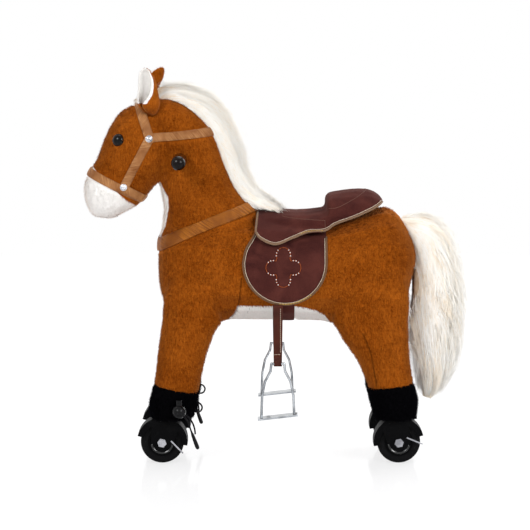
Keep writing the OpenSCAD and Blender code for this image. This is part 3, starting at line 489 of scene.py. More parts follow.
def tube(points, radius, sides=8, flat=1.0, closed=False):
    """A round tube along points, or one that is flattened across the horse, with its length and girth
    as attributes."""
    points = np.asarray(points, float)
    count = len(points)
    way = np.roll(points, -1, 0) - np.roll(points, 1, 0)
    if not closed:
        way[0], way[-1] = points[1] - points[0], points[-1] - points[-2]
    way = unit(way)
    first = unit(np.cross(way, np.array([0.0, 1.0, 0.0])))
    second = np.cross(first, way)
    radius = np.broadcast_to(radius, count)[:, None]
    angles = 2 * np.pi * np.arange(sides) / sides
    rings = [points + radius * (math.cos(a) * first + flat * math.sin(a) * second) for a in angles]
    verts = np.stack(rings, 1).reshape(-1, 3)
    steps = np.linalg.norm(np.diff(points, axis=0), axis=1)
    along = np.repeat(np.concatenate([[0], np.cumsum(steps)]), sides)
    across = np.tile(angles, count) * float(radius.mean())
    faces = ring_faces(count, sides, closed)
    if not closed:
        faces += end_faces(count, sides)
    return verts, faces, {"along": along, "across": across}


def lathe(profile, place, axis, sides=28):
    """A turned piece: (radius, height) pairs spun about an axis that starts at a place."""
    axis = Vector(axis).normalized()
    first = axis.orthogonal().normalized()
    second = axis.cross(first)
    points, across = [], []
    for radius, height in profile:
        for k in range(sides):
            a = 2 * math.pi * k / sides
            out = first * radius * math.cos(a) + second * radius * math.sin(a)
            points.append(Vector(place) + axis * height + out)
            across.append(radius)
    return points, ring_faces(len(profile), sides), {"across": across}


def pile(name, skin, count, length, width, flow, material, slot, seed,
         clear_of=None, clear=4 * MM, bare=None):
    """Short fibres all over a skin, one slim triangle each, combed along a direction. They keep clear of
    what lies on the skin, and a bare spot, given by its middle and radius, has none."""
    rng = np.random.default_rng(seed)
    # How far fibres stray from the comb, how much they stand up and lie down, and how deep they are rooted
    stray, stand, lie, rooted = 0.34, 0.62, 0.78, 0.4 * MM
    mesh = skin.data
    points, normals = points_of(mesh), normals_of(mesh)
    mesh.calc_loop_triangles()
    corners = np.empty(len(mesh.loop_triangles) * 3, np.int32)
    mesh.loop_triangles.foreach_get("vertices", corners)
    corners = corners.reshape(-1, 3)
    a, b, c = (points[corners[:, k]] for k in range(3))
    area = np.linalg.norm(np.cross(b - a, c - a), axis=1)
    pick = corners[rng.choice(len(corners), count, p=area / area.sum())]
    mix = rng.dirichlet((1, 1, 1), count)[:, :, None]
    root = (points[pick] * mix).sum(1)
    up = unit((normals[pick] * mix).sum(1))
    keep = np.ones(count, bool)
    if clear_of is not None:
        keep = np.array([clear_of.find_nearest(Vector(p), clear)[0] is None for p in root])
    if bare is not None:
        keep &= np.linalg.norm(root - np.asarray(bare[0]), axis=1) > bare[1]
    comb = np.asarray(flow, float) + rng.normal(0, stray, (count, 3))
    comb -= up * (comb * up).sum(1)[:, None]
    way = stand * up + lie * comb / np.maximum(np.linalg.norm(comb, axis=1)[:, None], 1e-6)
    side = np.cross(up, way)
    side *= 0.5 * width / np.maximum(np.linalg.norm(side, axis=1)[:, None], 1e-6)
    tip = root + way * (length * rng.uniform(0.65, 1.2, count))[:, None]
    root = root - up * rooted
    verts = np.stack([root + side, root - side, tip], 1)[keep]
    fibres = bpy.data.meshes.new(name)
    number = len(verts)
    fibres.from_pydata(verts.reshape(-1, 3).tolist(), [], np.arange(3 * number).reshape(-1, 3).tolist())
    for key in ("white", "seam"):
        values = np.empty(len(points), np.float32)
        mesh.attributes[key].data.foreach_get("value", values)
        set_attribute(fibres, key, np.repeat((values[pick] * mix[:, :, 0]).sum(1)[keep], 3))
    set_attribute(fibres, "fibre", np.repeat(rng.normal(0, 0.22, number), 3))
    link_piece(name, fibres, material, slot=slot)
    fibres.normals_split_custom_set_from_vertices(np.repeat(up[keep], 3, 0).tolist())


def locks(name, stations, count, strands, material, body, seed, width, roots, runs,
          reach=(0.7, 1.06), wild=False):
    """Long fur in a soft form. A station has an inner point, an outer point, a half width and a shift
    to one side. Each lock is rooted near the inner edge, runs along the form and outwards, and its
    strands draw together at its tip. Wild ones are loose hairs that start at the face of the form.
    Roots, runs and reach are ranges: where along the form locks start, how far along it they go, and
    how far out, each as a share of the form."""
    rng = np.random.default_rng(seed)
    inner, outer = (np.array([s[k] for s in stations], float) for k in (0, 1))
    half, aside = (np.array([s[k] for s in stations], float) for k in (2, 3))
    knots = np.linspace(0, 1, len(stations))
    joints = 7
    s = np.linspace(0, 1, joints)

    def form(u, q):
        """Places in the form: a share of its length, and a share of its section out and to one side."""
        low, high = (
            np.stack([np.interp(u, knots, ends[:, k]) for k in range(2)], -1) for ends in (inner, outer))
        flat = (low + high) / 2 + (high - low) / 2 * q[..., :1]
        across = np.interp(u, knots, aside) + np.interp(u, knots, half) * q[..., 1]
        return np.stack([flat[..., 0], across, flat[..., 1]], -1) * MM

    # Each lock's start, run and turn round the form, and its way from its root to its goal
    total = count * strands
    pick = np.repeat(np.arange(count), strands)
    start = rng.uniform(*roots, count)
    run = rng.uniform(*runs, count)
    turn = rng.uniform(-2.2, 2.2, count) * (1.4 if wild else 1)
    around = np.stack([np.cos(turn), np.sin(turn)], -1)
    begin = np.stack([rng.uniform(-1, -0.2, count), 0.7 * np.sin(turn)], -1)
    begin = 0.8 * around if wild else begin
    goal = around * rng.uniform(*reach, count)[:, None]
    flanks = np.stack([np.zeros(total), np.sin(turn[pick])], -1)[:, None]
    bulge = 0.0 if wild else np.sin(np.pi * s)[None, :, None] * 0.3 * flanks
    ease = (s ** (1.3 if wild else 0.75))[None, :, None]
    # Each strand's own spread, length and wave
    loose = rng.normal(0, 0.14, (total, 1, 2)) * (1 - 0.6 * s)[None, :, None]
    q = begin[pick, None] + (goal - begin)[pick, None] * ease + bulge + loose
    size = np.linalg.norm(q, axis=-1, keepdims=True)
    q *= np.minimum(1, (reach[1] + 0.04) / np.maximum(size, 1e-6))
    shift = rng.normal(0, 0.02, (total, 1))
    gone = run[pick] * rng.uniform(0.7, 1.08, total)
    u = start[pick, None] + shift + gone[:, None] * s
    u = np.clip(u, 0, 1 - 0.12 * rng.random((total, 1)))
    line, middle = form(u, q), form(u, np.zeros_like(q))
    sway = np.sin(5 * s + rng.uniform(0, 6, (count, 1)))[..., None] * rng.normal(0, 2.6 * MM, (count, 1, 3))
    curl = np.sin(6 * s + rng.uniform(0, 6, (total, 1)))[..., None] * rng.normal(0, 1.5 * MM, (total, 1, 3))
    line += (sway[pick] + curl) * s[None, :, None]
    # Flat strands that face away from the middle of the form and taper to a point
    away = unit(line - middle + np.array([0, 0, 4 * MM]), 1e-6)
    side = unit(np.cross(np.gradient(line, axis=1), away))
    taper = np.interp(s, [0, 0.15, 0.6, 1], [0.8, 1, 0.8, 0.05])[None, :, None] * width * 0.5
    verts = np.stack([line - side * taper, line + side * taper], 2)
    base = np.arange(total)[:, None] * joints * 2 + np.arange(joints - 1)[None, :] * 2
    faces = np.stack([base, base + 1, base + 3, base + 2], -1).reshape(-1, 4)
    # Tone rises from the darker roots to the tips and differs at random from lock to lock and strand to
    # strand. Loose hairs get 0.25 more: painted light, for the edge of the fur glowing with the light behind
    # it
    shade = rng.normal(0, 0.26, count)[pick, None] + rng.normal(0, 0.1, (total, 1))
    tone = np.clip(0.3 + 0.6 * s[None] ** 0.7 + shade + (0.25 if wild else 0), 0, 1)
    mesh = bpy.data.meshes.new(name)
    mesh.from_pydata(verts.reshape(-1, 3).tolist(), [], faces.tolist())
    set_attribute(mesh, "tone", np.repeat(tone.reshape(-1), 2))
    link_piece(name, mesh, material, body, "cream_fur")
    # They take the light as the whole form does, and not as flat ribbons
    flank = np.tanh(4 * q[..., 1:])
    lit = unit(0.3 * away + np.concatenate([0 * flank, 0.6 * flank, 0.5 + 0 * flank], -1))
    mesh.normals_split_custom_set_from_vertices(np.repeat(lit.reshape(-1, 3), 2, 0).tolist())


def loft(stations, shrink, sides=24):
    """A closed soft core inside the same stations, at a share of their size."""
    points = []
    rows = curve_points([np.array([*s[0], *s[1], s[2], s[3]], float) for s in stations], 3)
    for row in rows:
        middle, reach = (row[:2] + row[2:4]) / 2, (row[2:4] - row[:2]) / 2 * shrink
        for k in range(sides):
            a = 2 * math.pi * k / sides
            flat = middle + reach * math.cos(a)
            points.append([flat[0] * MM, (row[5] + row[4] * shrink * math.sin(a)) * MM, flat[1] * MM])
    return points, ring_faces(len(rows), sides) + end_faces(len(rows), sides)


# Tack that lies on the coat

def arched(points, a, b, bow):
    """Points of the side view lifted off the line between two points, most at its middle, in metres."""
    points, a, b = (np.asarray(p, float) for p in (points, a, b))
    reach = np.linalg.norm(b - a)
    along = (b - a) / reach
    t = np.clip((points - a) @ along / reach, 0, 1)
    return points + (4 * bow * t * (1 - t))[:, None] * np.array([-along[2], 0, along[0]])


def strap_on(skin, a, b, width, lift, thick, below=None, bow=0.0):
    """A strap that follows a skin: the band between two points of the side view, raised off it. It can
    be kept below a height, and a bow lifts the middle of the band off the straight line."""
    a, b = Vector(a) * MM, Vector(b) * MM
    along = (b - a).normalized()
    across = Vector((-along.z, 0, along.x))
    straight = skin.data.copy()
    move_points(straight, arched(points_of(straight), a, b, -bow))
    band = bmesh.new()
    band.from_mesh(straight)
    bpy.data.meshes.remove(straight)
    cuts = [(a, -along), (b, along), (a + across * width / 2, across), (a - across * width / 2, -across)]
    if below:
        cuts.append((Vector((0, 0, below * MM)), Vector((0, 0, 1))))
    for place, way in cuts:
        geometry = band.verts[:] + band.edges[:] + band.faces[:]
        bmesh.ops.bisect_plane(band, geom=geometry, dist=1e-6, plane_co=place, plane_no=way, clear_outer=True)
    normals = normals_of(skin.data)
    near = skin_index(skin)
    lengths, offs = [], []
    band.verts.index_update()
    for vert in band.verts:
        spot = vert.co - a
        lengths.append(spot.dot(along))
        offs.append(spot.dot(across))
    for vert, spot in zip(band.verts, arched([v.co for v in band.verts], a, b, bow)):
        vert.co = spot
    rise = [lift + 0.45 * thick * (1 - (2 * off / width) ** 4) for off in offs]
    ups = [Vector(normals[near.find(v.co)[1]]) for v in band.verts]
    top = [v.co + up * (h + 0.55 * thick) for v, up, h in zip(band.verts, ups, rise)]
    bottom = [v.co + up * 0.3 * MM for v, up in zip(band.verts, ups)]
    count = len(top)
    faces = []
    for face in band.faces:
        ring = [v.index for v in face.verts]
        faces.append(ring)
        faces.append([count + i for i in reversed(ring)])
    for edge in band.edges:
        if edge.is_boundary:
            loop = edge.link_loops[0]
            i, j = loop.vert.index, loop.link_loop_next.vert.index
            faces.append([j, i, count + i, count + j])
    band.free()
    return top + bottom, faces, {"along": lengths * 2, "across": offs * 2}


skin_indexes = {}


def skin_index(skin):
    """Search tree of a skin's vertices."""
    if skin.name not in skin_indexes:
        tree = KDTree(len(skin.data.vertices))
        for vert in skin.data.vertices:
            tree.insert(vert.co, vert.index)
        tree.balance()
        skin_indexes[skin.name] = tree
    return skin_indexes[skin.name]


def side_hit(tree, x, z, side):
    """Point and normal of a surface at a place of the side view, seen from one side, if there are any."""
    return tree.ray_cast(Vector((x * MM, side * OUTSIDE, z * MM)), Vector((0, -side, 0)))[:2]


def on_side(tree, x, z, side, lift=0.0):
    """The point of a surface at a place of the side view, seen from one side, in metres."""
    hit, normal = side_hit(tree, x, z, side)
    if hit is None:
        return None
    return hit + normal * lift


def side_line(tree, points, side, lift, steps=6):
    """A smooth line of the side view laid on a surface."""
    flat = curve_points([np.array(p, float) for p in points], steps)
    spots = [on_side(tree, x, z, side, lift) for x, z in flat]
    return [s for s in spots if s is not None]


def stitches(line, length, gap, radius):
    """Short raised stitches along a line of points."""
    line = np.asarray(line, float)
    steps = np.concatenate([[0], np.cumsum(np.linalg.norm(np.diff(line, axis=0), axis=1))])
    parts, at = [], 0.0
    while at + length < steps[-1]:
        ends = [[np.interp(at + f * length, steps, line[:, k]) for k in range(3)] for f in (0, 0.25, 0.75, 1)]
        parts.append(tube(ends, np.array([0.5, 1, 1, 0.5]) * radius, sides=6))
        at += length + gap
    return parts


# Sizes and colours that a user would change

def length_property(name, description, millimetres):
    """A length property with its default in millimetres."""
    return FloatProperty(name=name, description=description, default=millimetres * MM, unit="LENGTH")


def colour_property(name, description, hex_code):
    """A colour property with its default as sRGB hex."""
    return FloatVectorProperty(
        name=name, description=description, default=linear(hex_code), subtype="COLOR", size=4)


class HorsePlush(bpy.types.PropertyGroup):
    """Coat, cuffs and ears"""
    voxel: length_property("Skin Grid", "Grid of the coat's skin", 3.2)
    pile_length: length_property("Pile", "Length of the coat's fibres", 4.4)
    pile_width: length_property("Fibre", "Width of a tuft of fibres", 1.2)
    pile_count: IntProperty(name="Fibres", description="Tufts on the whole coat", default=190000)
    cuff_count: IntProperty(name="Cuff Fibres", description="Tufts on each cuff", default=7000)
    coat_deep: colour_property("Coat Deep", "Coat between its fibres", "#662901")
    coat_light: colour_property("Coat Light", "Coat on its fibres", "#b3611a")
    coat_sheen: colour_property("Coat Sheen", "Soft rim of the coat", "#f0ac70")
    white_deep: colour_property("White Deep", "White panels between fibres", "#ebe9e5")
    white_light: colour_property("White Light", "White panels on fibres", "#faf8f5")
    cuff_deep: colour_property("Cuff Deep", "Cuffs between fibres", "#020203")
    cuff_light: colour_property("Cuff Light", "Cuffs on fibres", "#0a090b")


class HorseFur(bpy.types.PropertyGroup):
    """Mane, forelock and tail"""
    strand_width: length_property("Strand", "Width of a strand", 0.8)
    mane_locks: IntProperty(name="Mane Locks", description="Locks of the mane", default=330)
    tail_locks: IntProperty(name="Tail Locks", description="Locks of the tail", default=380)
    strands: IntProperty(name="Strands", description="Strands of a lock", default=36)
    loose_hairs: IntProperty(
        name="Loose Hairs", description="Tufts of hairs that stand out of a form", default=1700)
    root: colour_property("Root", "Fur near its backing", "#f2dcba")
    tip: colour_property("Tip", "Fur at its tips", "#fffdf8")


class HorseTack(bpy.types.PropertyGroup):
    """Saddle, bridle and straps"""
    strap_width: length_property("Strap", "Width of a bridle strap", 15)
    breast_width: length_property("Breast Strap", "Width of the breast strap", 19)
    girth_width: length_property("Girth", "Width of the girth", 34)
    strap_thick: length_property("Thickness", "Thickness of a strap", 2.2)
    strap_lift: length_property("Lift", "Height of a strap off the coat", 1.6)
    binding: length_property("Binding", "Radius of the edge binding", 1.9)
    thread: length_property("Thread", "Radius of the embroidery's thread", 0.6)
    bridle_deep: colour_property("Bridle Deep", "Bridle in its grain", "#6f3c16")
    bridle_light: colour_property("Bridle Light", "Bridle on its creases", "#b27f50")
    breast_deep: colour_property("Breast Deep", "Breast strap in its grain", "#5c2a03")
    breast_light: colour_property("Breast Light", "Breast strap on its creases", "#9c5c1a")
    suede_deep: colour_property("Suede Deep", "Saddle against the nap", "#321514")
    suede_light: colour_property("Suede Light", "Saddle along the nap", "#552c26")
    leather_deep: colour_property("Leather Deep", "Stirrup leathers in their grain", "#2e0f08")
    leather_light: colour_property("Leather Light", "Stirrup leathers on their creases", "#522315")
    flower_deep: colour_property("Flower Deep", "Embroidery between threads", "#7a3316")
    flower_light: colour_property("Flower Light", "Embroidery on threads", "#aa5528")


class HorseHardware(bpy.types.PropertyGroup):
    """Wheels, forks and stirrups"""
    tyre: colour_property("Tyre", "Rubber of the tyres", "#070708")
    tyre_worn: colour_property("Tyre Worn", "Scuffs on the tyres", "#111012")
    plastic: colour_property("Plastic", "Forks and rims", "#030304")
    plastic_worn: colour_property("Plastic Worn", "Scuffs on forks and rims", "#09090a")
    chrome_deep: colour_property("Chrome Deep", "Darker spots of the stirrups", "#8c9094")
    chrome_light: colour_property("Chrome Light", "Bright plating of the stirrups", "#c8ccd0")


class HorseStage(bpy.types.PropertyGroup):
    """Camera, floor and light"""
    lens: FloatProperty(name="Lens", description="Focal length", default=155.2, unit="CAMERA")
    camera: FloatVectorProperty(
        name="Camera", description="Place of the camera", default=(-0.0175, -4.0, 0.806),
        subtype="TRANSLATION")
    target: FloatVectorProperty(
        name="Target", description="What the camera looks at", default=(-0.0175, 0.0, 0.336),
        subtype="TRANSLATION")
    floor: FloatProperty(name="Floor", description="Radius of the floor", default=3.2, unit="LENGTH")
    floor_colour: colour_property("Floor Colour", "Acrylic of the floor", "#f2f2f4")
    floor_share: FloatProperty(
        name="Floor White", description="Share of plain white in the floor that the camera sees",
        default=0.62, subtype="FACTOR")
    floor_glow: FloatProperty(name="Floor Glow", description="Strength of that plain white", default=1.14)
    sky: FloatProperty(name="Sky", description="Strength of the light from behind and above", default=0.82)
    room: FloatProperty(name="Room", description="Strength of the light from the room in front", default=0.4)


# Pieces

class HORSE_OT_stage(bpy.types.Operator):
    """White studio floor, soft light and the camera"""
    bl_idname = "horse.stage"
    bl_label = "Stage"

    def execute(self, context):
        scene, stage = context.scene, context.scene.horse_stage
        scene.view_settings.view_transform = "Standard"
        camera = bpy.data.objects.new("camera", bpy.data.cameras.new("camera"))
        camera.data.lens = stage.lens
        camera.location = stage.camera
        look = Vector(stage.target) - Vector(stage.camera)
        camera.rotation_euler = look.to_track_quat("-Z", "Y").to_euler()
        scene.collection.objects.link(camera)
        scene.camera = camera

        for name, place, size, power in LAMPS:
            lamp = bpy.data.objects.new(name, bpy.data.lights.new(name, "AREA"))
            lamp.data.size = size
            lamp.data.energy = power
            lamp.location = place
            lamp.rotation_euler = (LAMP_TARGET - lamp.location).to_track_quat("-Z", "Y").to_euler()
            scene.collection.objects.link(lamp)

        world = bpy.data.worlds.new("studio")
        scene.world = world
        world.use_nodes = True
        tree = world.node_tree
        tree.nodes.clear()
        # The camera, metal and glass see a white backdrop. The light it sheds is dimmer in front of the horse
        ray = put(tree, "LightPath").outputs
        way = put(tree, "SeparateXYZ", {0: put(tree, "TexCoord").outputs["Generated"]}).outputs
        shed = put(tree, "MapRange", {0: way["Y"], 1: -0.35, 2: 0.35, 3: stage.room, 4: stage.sky})
        through = put(
            tree, "Math", {0: ray["Is Glossy Ray"], 1: ray["Is Transmission Ray"]}, operation="MAXIMUM")
        seen = put(tree, "Math", {0: ray["Is Camera Ray"], 1: through}, operation="MAXIMUM")
        light = put(tree, "Mix", {0: seen, 2: shed, 3: 1.0})
        put(tree, "OutputWorld", {0: put(tree, "Background", {"Color": WHITE, "Strength": light})})

        around = np.linspace(0, 2 * math.pi, 96, endpoint=False)
        edge = [(stage.floor * math.cos(a), stage.floor * math.sin(a), 0) for a in around]
        plane = mesh_from("floor", edge, [list(range(len(edge)))])
        floor = bpy.data.objects.new("floor", plane)
        scene.collection.objects.link(floor)
        # A little below the tyres, so that the two never share a plane
        floor.location.z = -0.4 * MM
        material, tree, shader = start_material(
            "white acrylic floor", Roughness=0.1, Specular_IOR_Level=0.5, Base_Color=stage.floor_colour)
        ray = put(tree, "LightPath").outputs
        share = put(tree, "Math", {0: ray["Is Camera Ray"], 1: stage.floor_share}, operation="MULTIPLY")
        glow = put(tree, "Emission", {"Color": WHITE, "Strength": stage.floor_glow})
        mixed = put(tree, "MixShader", {0: share, 1: shader, 2: glow})
        feed(tree, tree.nodes["Material Output"], {0: mixed})
        plane.materials.append(material)
        return {"FINISHED"}


class HORSE_OT_drawstrings(bpy.types.Operator):
    """Drawstring of each front cuff: its loop and two ends, one with a moulded tip"""
    bl_idname = "horse.drawstrings"
    bl_label = "Drawstrings"

    def execute(self, context):
        diameter = 3.0 * MM
        routes = {
            "loop": [(-141, 92, 104), (-136, 93, 106.5), (-130, 94, 105), (-126.5, 95, 99), (-129, 95, 92.5),
                     (-135, 94, 90.5), (-140, 93, 93)],
            "long": [(-156.5, 129.5, 88.5), (-150, 127, 79), (-146, 124, 66), (-141, 121, 52),
                     (-136, 119, 38), (-133, 118, 30)],
            "short": [(-155.5, 125, 92), (-147, 119, 83), (-142, 116, 74), (-139, 114, 64), (-138, 113, 55)],
        }
        nodes = {"loop": "cord_loops", "long": "cord_tails_long", "short": "cord_tails_short"}
        braid = woven_tape("braided polyester cord", "#060607", "#151417")
        tip_plastic = moulded("moulded cord tip", "#080809", "#121214",
                              roughness=0.32, grain_mm=1.2, bump=0.1)
        for side, sign in SIDES.items():
            for name, route in routes.items():
                line = curve_points([np.array((x, sign * y, z)) * MM for x, y, z in route], 5)
                data = bpy.data.curves.new(f"cord_{name}_{side}", "CURVE")
                data.dimensions = "3D"
                data.bevel_depth = diameter / 2
                data.bevel_resolution = 3
                data.use_fill_caps = True
                spline = data.splines.new("POLY")
                spline.points.add(len(line) - 1)
                spline.points.foreach_set("co", np.c_[line, np.ones(len(line))].ravel())
                data.materials.append(braid)
                piece = bpy.data.objects.new(f"cord_{name}_{side}", data)
                context.scene.collection.objects.link(piece)
                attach(piece, "horse")
                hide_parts(nodes[name])
                tips = []
                if name == "long":
                    # The tip covers the last points of the cord, and reaches a little past its end
                    end = line[-14:] + np.array([0, 0, -0.2 * MM])
                    share = np.linspace(0, 1, len(end))
                    swell = np.interp(share, [0, 0.15, 0.55, 0.85, 1], [1.7, 2.7, 3.5, 3.4, 1.7]) * MM
                    tips = [link_parts(f"cord_tip_{side}", [tube(end, swell, sides=12)], tip_plastic,
                                       slot="black_plastic")]
        return {"FINISHED"}


class HORSE_OT_coat(bpy.types.Operator):
    """One sewn plush skin over the body, head and legs, and its pile"""
    bl_idname = "horse.coat"
    bl_label = "Coat"

    def execute(self, context):
        plush = context.scene.horse_plush
        solid = solid_without_bores(COAT_NODES, STEEL_INSIDE)
        mesh = remeshed("coat", solid, plush.voxel, rounds=45)
        points, normals = points_of(mesh), normals_of(mesh)
        points += normals * (self.stuffing(points, normals) - SET_IN - self.grip_dents(points))[:, None]
        move_points(mesh, points)
        set_attribute(mesh, "white", self.white_panels(points, normals))
        set_attribute(mesh, "seam", self.seams(points))
        material = sheared_plush(
            "sheared polyester plush brown", plush.coat_deep, plush.coat_light, plush.white_deep,
            plush.white_light, tint=plush.coat_sheen, sheen=0.4)
        coat = link_piece("coat", mesh, material, slot="brown_plush", replaces=COAT_NODES)
        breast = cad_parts["breast_strap"].data.copy()
        ends = [Vector(p) * MM for p in BREAST_LINE]
        move_points(breast, arched(points_of(breast), *ends, BREAST_BOW))
        others = [name for name in TACK_NODES if name != "breast_strap"] + [f"cuff_{c}" for c in CORNERS]
        covered = tree_of(breast, *node_meshes(others))
        bpy.data.meshes.remove(breast)
        pile("coat_pile", coat, plush.pile_count, plush.pile_length, plush.pile_width, (0.35, 0, -1),
             material, "brown_plush", seed=7, clear_of=covered, bare=TAIL_SEAT)
        return {"FINISHED"}

    @staticmethod
    def grip_dents(points):
        """How far the neck is drawn in round the two handle grips, in metres."""
        away = np.hypot(points[:, 0] + 165 * MM, points[:, 2] - 524.5 * MM)
        return np.where(np.abs(points[:, 1]) > 30 * MM, 7 * MM * hill(away, 20 * MM), 0)

    @staticmethod
    def stuffing(points, normals):
        """How far stuffing pushes out the rump, throat and legs' roots, and the shins fall in, in metres."""
        x, _, z = points.T
        back, front = np.clip(normals[:, 0], 0, 1), np.clip(-normals[:, 0], 0, 1)
        rump = 8 * MM * hill(z - 0.358, 0.032) * back * (x > 0.17)
        throat = 4 * MM * hill(z - 0.44, 0.05) * front * (x > -0.25) * (x < -0.13)
        shins = 5 * MM * hill(z - 0.185, 0.045) * back * (x > -0.2) * (x < -0.05)
        elbows = 7 * MM * hill(np.hypot(x + 0.1, z - 0.25), 0.014)
        stifles = 6 * MM * hill(np.hypot(x - 0.103, z - 0.25), 0.014)
        return rump + throat + elbows + stifles - shins

    @staticmethod
    def white_panels(points, normals):
        """Signed depth inside the white muzzle, throat and belly panels, in metres."""
        x, y, z = points.T
        nose_x = np.array([-365, -330, -321, -312, -298, -283, -263, -250, -236, -220]) * MM
        nose_z = np.array([545, 522, 514.4, 504, 486, 476, 457, 447, 436, 420]) * MM
        nose = np.where((z > 0.4) & (x < -0.2), 0.8 * (np.interp(x, nose_x, nose_z) - z), -FAR)
        front = (normals[:, 0] < -0.1) & (x < -0.15) & (x > -0.25) & (z > 0.246) & (z < 0.488)
        slim = 0.034 * np.sqrt(np.clip((0.49 - z) / 0.03, 0, 1))
        throat = np.where(front, slim - np.abs(y), -FAR)
        edge = np.interp(x, [-0.095, 0.04, 0.07, 0.085, 0.1], [0.276, 0.275, 0.268, 0.258, 0.236])
        shoulder = np.interp(z, [0.236, 0.243, 0.252, 0.262, 0.282], [-0.096, -0.086, -0.077, -0.07, -0.063])
        belly = np.where((z > 0.226) & (x > -0.1) & (x < 0.1), np.minimum(edge - z, x - shoulder), -FAR)
        under = np.where((z < 0.3) & (normals[:, 2] < -0.1) & (x < 0.2), 0.03 - np.abs(y), -FAR)
        return np.max([nose, throat, belly, under], axis=0)

    @staticmethod
    def seams(points):
        """Signed distance to the nearest seam line of the side view, in metres."""
        lines = [
            [(-57, 328), (-58.5, 318), (-63, 282), (-70, 262), (-86, 243)],
            [(150, 232), (163, 201), (170, 168), (176, 136)],
            [(-182, 626), (-160, 618), (-129, 595.5), (-109, 580)],
        ]
        x, z = points[:, 0], points[:, 2]
        best = np.full(len(points), FAR)
        for line in lines:
            smooth = curve_points([np.array(p) * MM for p in line], 8)
            for p, q in zip(smooth[:-1], smooth[1:]):
                d = q - p
                t = ((x - p[0]) * d[0] + (z - p[1]) * d[1]) / (d @ d)
                inside = np.clip(t, 0, 1)
                far = np.hypot(x - p[0] - inside * d[0], z - p[1] - inside * d[1])
                sign = np.sign((x - p[0]) * d[1] - (z - p[1]) * d[0])
                best = np.where((far < np.abs(best)) & (t > -0.2) & (t < 1.2), far * sign, best)
        return best


class HORSE_OT_cuffs(bpy.types.Operator):
    """Black plush cuffs over the forks"""
    bl_idname = "horse.cuffs"
    bl_label = "Cuffs"

    def execute(self, context):
        plush = context.scene.horse_plush
        material = sheared_plush(
            "sheared polyester plush black", plush.cuff_deep, plush.cuff_light, plush.cuff_deep,
            plush.cuff_light, tint="#77778a", sheen=0.04)
        locks_tree = tree_of(*node_meshes(["cord_locks", "lock_button_left", "lock_button_right"]))
        for seed, corner in enumerate(CORNERS):
            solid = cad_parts[f"cuff_{corner}"].data.copy()
            mesh = remeshed(f"cuff_{corner}", solid, voxel=2.4 * MM, rounds=14)
            zeros = np.zeros(len(mesh.vertices))
            set_attribute(mesh, "white", zeros - FAR)
            set_attribute(mesh, "seam", zeros + FAR)
            name = f"plush_cuff_{corner}"
            cuff = link_piece(name, mesh, material, slot="black_plush", replaces=[f"cuff_{corner}"])
            pile(f"{name}_pile", cuff, plush.cuff_count, plush.pile_length, plush.pile_width, (0.2, 0, -1),
                 material, "black_plush", seed=20 + seed, clear_of=locks_tree, clear=2 * MM)
        return {"FINISHED"}


class HORSE_OT_ears(bpy.types.Operator):
    """Ears rolled into a cone at the root, with a brown back and a white lining, turned outwards"""
    bl_idname = "horse.ears"
    bl_label = "Ears"

    def execute(self, context):
        brown = bpy.data.materials["sheared polyester plush brown"]
        turn = math.radians(44)
        rows, columns = 34, 32
        # Height, axis, radius and half opening in degrees, from the closed cup at the root to the tip
        shape = np.array([
            (602, -211, 1, 178), (605, -211, 8, 178), (611, -211, 13, 176), (616, -211, 16.5, 174),
            (621, -211, 18, 170), (626, -211.5, 18.4, 157), (632, -212.5, 17.6, 139),
            (638, -213.5, 17.2, 122), (647, -215, 17, 107), (656, -216.5, 17.2, 96), (666, -219, 16.2, 88),
            (675, -222, 12.8, 82), (679, -223, 10, 80), (682, -224, 4, 70),
        ])
        for side, sign in SIDES.items():
            front = Vector((-math.cos(turn), sign * math.sin(turn), 0))
            wide = Vector((-front.y, front.x, 0))
            points, white = [], []
            for lining in (True, False):
                for i in range(rows + 1):
                    t = i / rows
                    z = shape[0, 0] + t * (shape[-1, 0] - shape[0, 0])
                    x, radius, reach = (np.interp(z, shape[:, 0], shape[:, k]) for k in (1, 2, 3))
                    bent = 0.75 * max(0, z - 650) if side == "right" else 0
                    axis = Vector((x + bent, sign * 34, z)) * MM
                    for k in range(columns + 1):
                        v = 2 * k / columns - 1
                        ends = math.sin(math.pi * min(0.97, 0.06 + 0.94 * t)) ** 0.4
                        soft = math.sqrt(max(0, 1 - v ** 4)) * ends
                        r = (radius + (-min(3.2, 0.4 * radius) if lining else 1.8) * soft) * MM
                        a = v * math.radians(reach)
                        back = r * math.cos(a) - 0.6 * radius * MM
                        points.append(axis + wide * r * math.sin(a) - front * back)
                        white.append(FAR if (lining or abs(v) > 0.84) and z > 621 else -FAR)
            row = columns + 1
            count = (rows + 1) * row
            faces = []
            for i in range(rows):
                for k in range(columns):
                    a = i * row + k
                    quad = [a, a + 1, a + row + 1, a + row]
                    faces += [quad, [count + j for j in reversed(quad)]]
            mesh = mesh_from(f"ear_{side}", points, faces, white=white, seam=[FAR] * len(points))
            repair = bmesh.new()
            repair.from_mesh(mesh)
            bmesh.ops.remove_doubles(repair, verts=repair.verts, dist=0.05 * MM)
            bmesh.ops.holes_fill(repair, edges=repair.edges[:], sides=0)
            bmesh.ops.recalc_face_normals(repair, faces=repair.faces)
            repair.to_mesh(mesh)
            repair.free()
            ear = link_piece(f"plush_ear_{side}", mesh, brown, slot="brown_plush", replaces=[f"ear_{side}"])
            pile(f"plush_ear_{side}_pile", ear, count=5000, length=2.8 * MM, width=0.9 * MM, flow=(0, 0, 1),
                 material=brown, slot="brown_plush", seed=31 + sign)
        return {"FINISHED"}


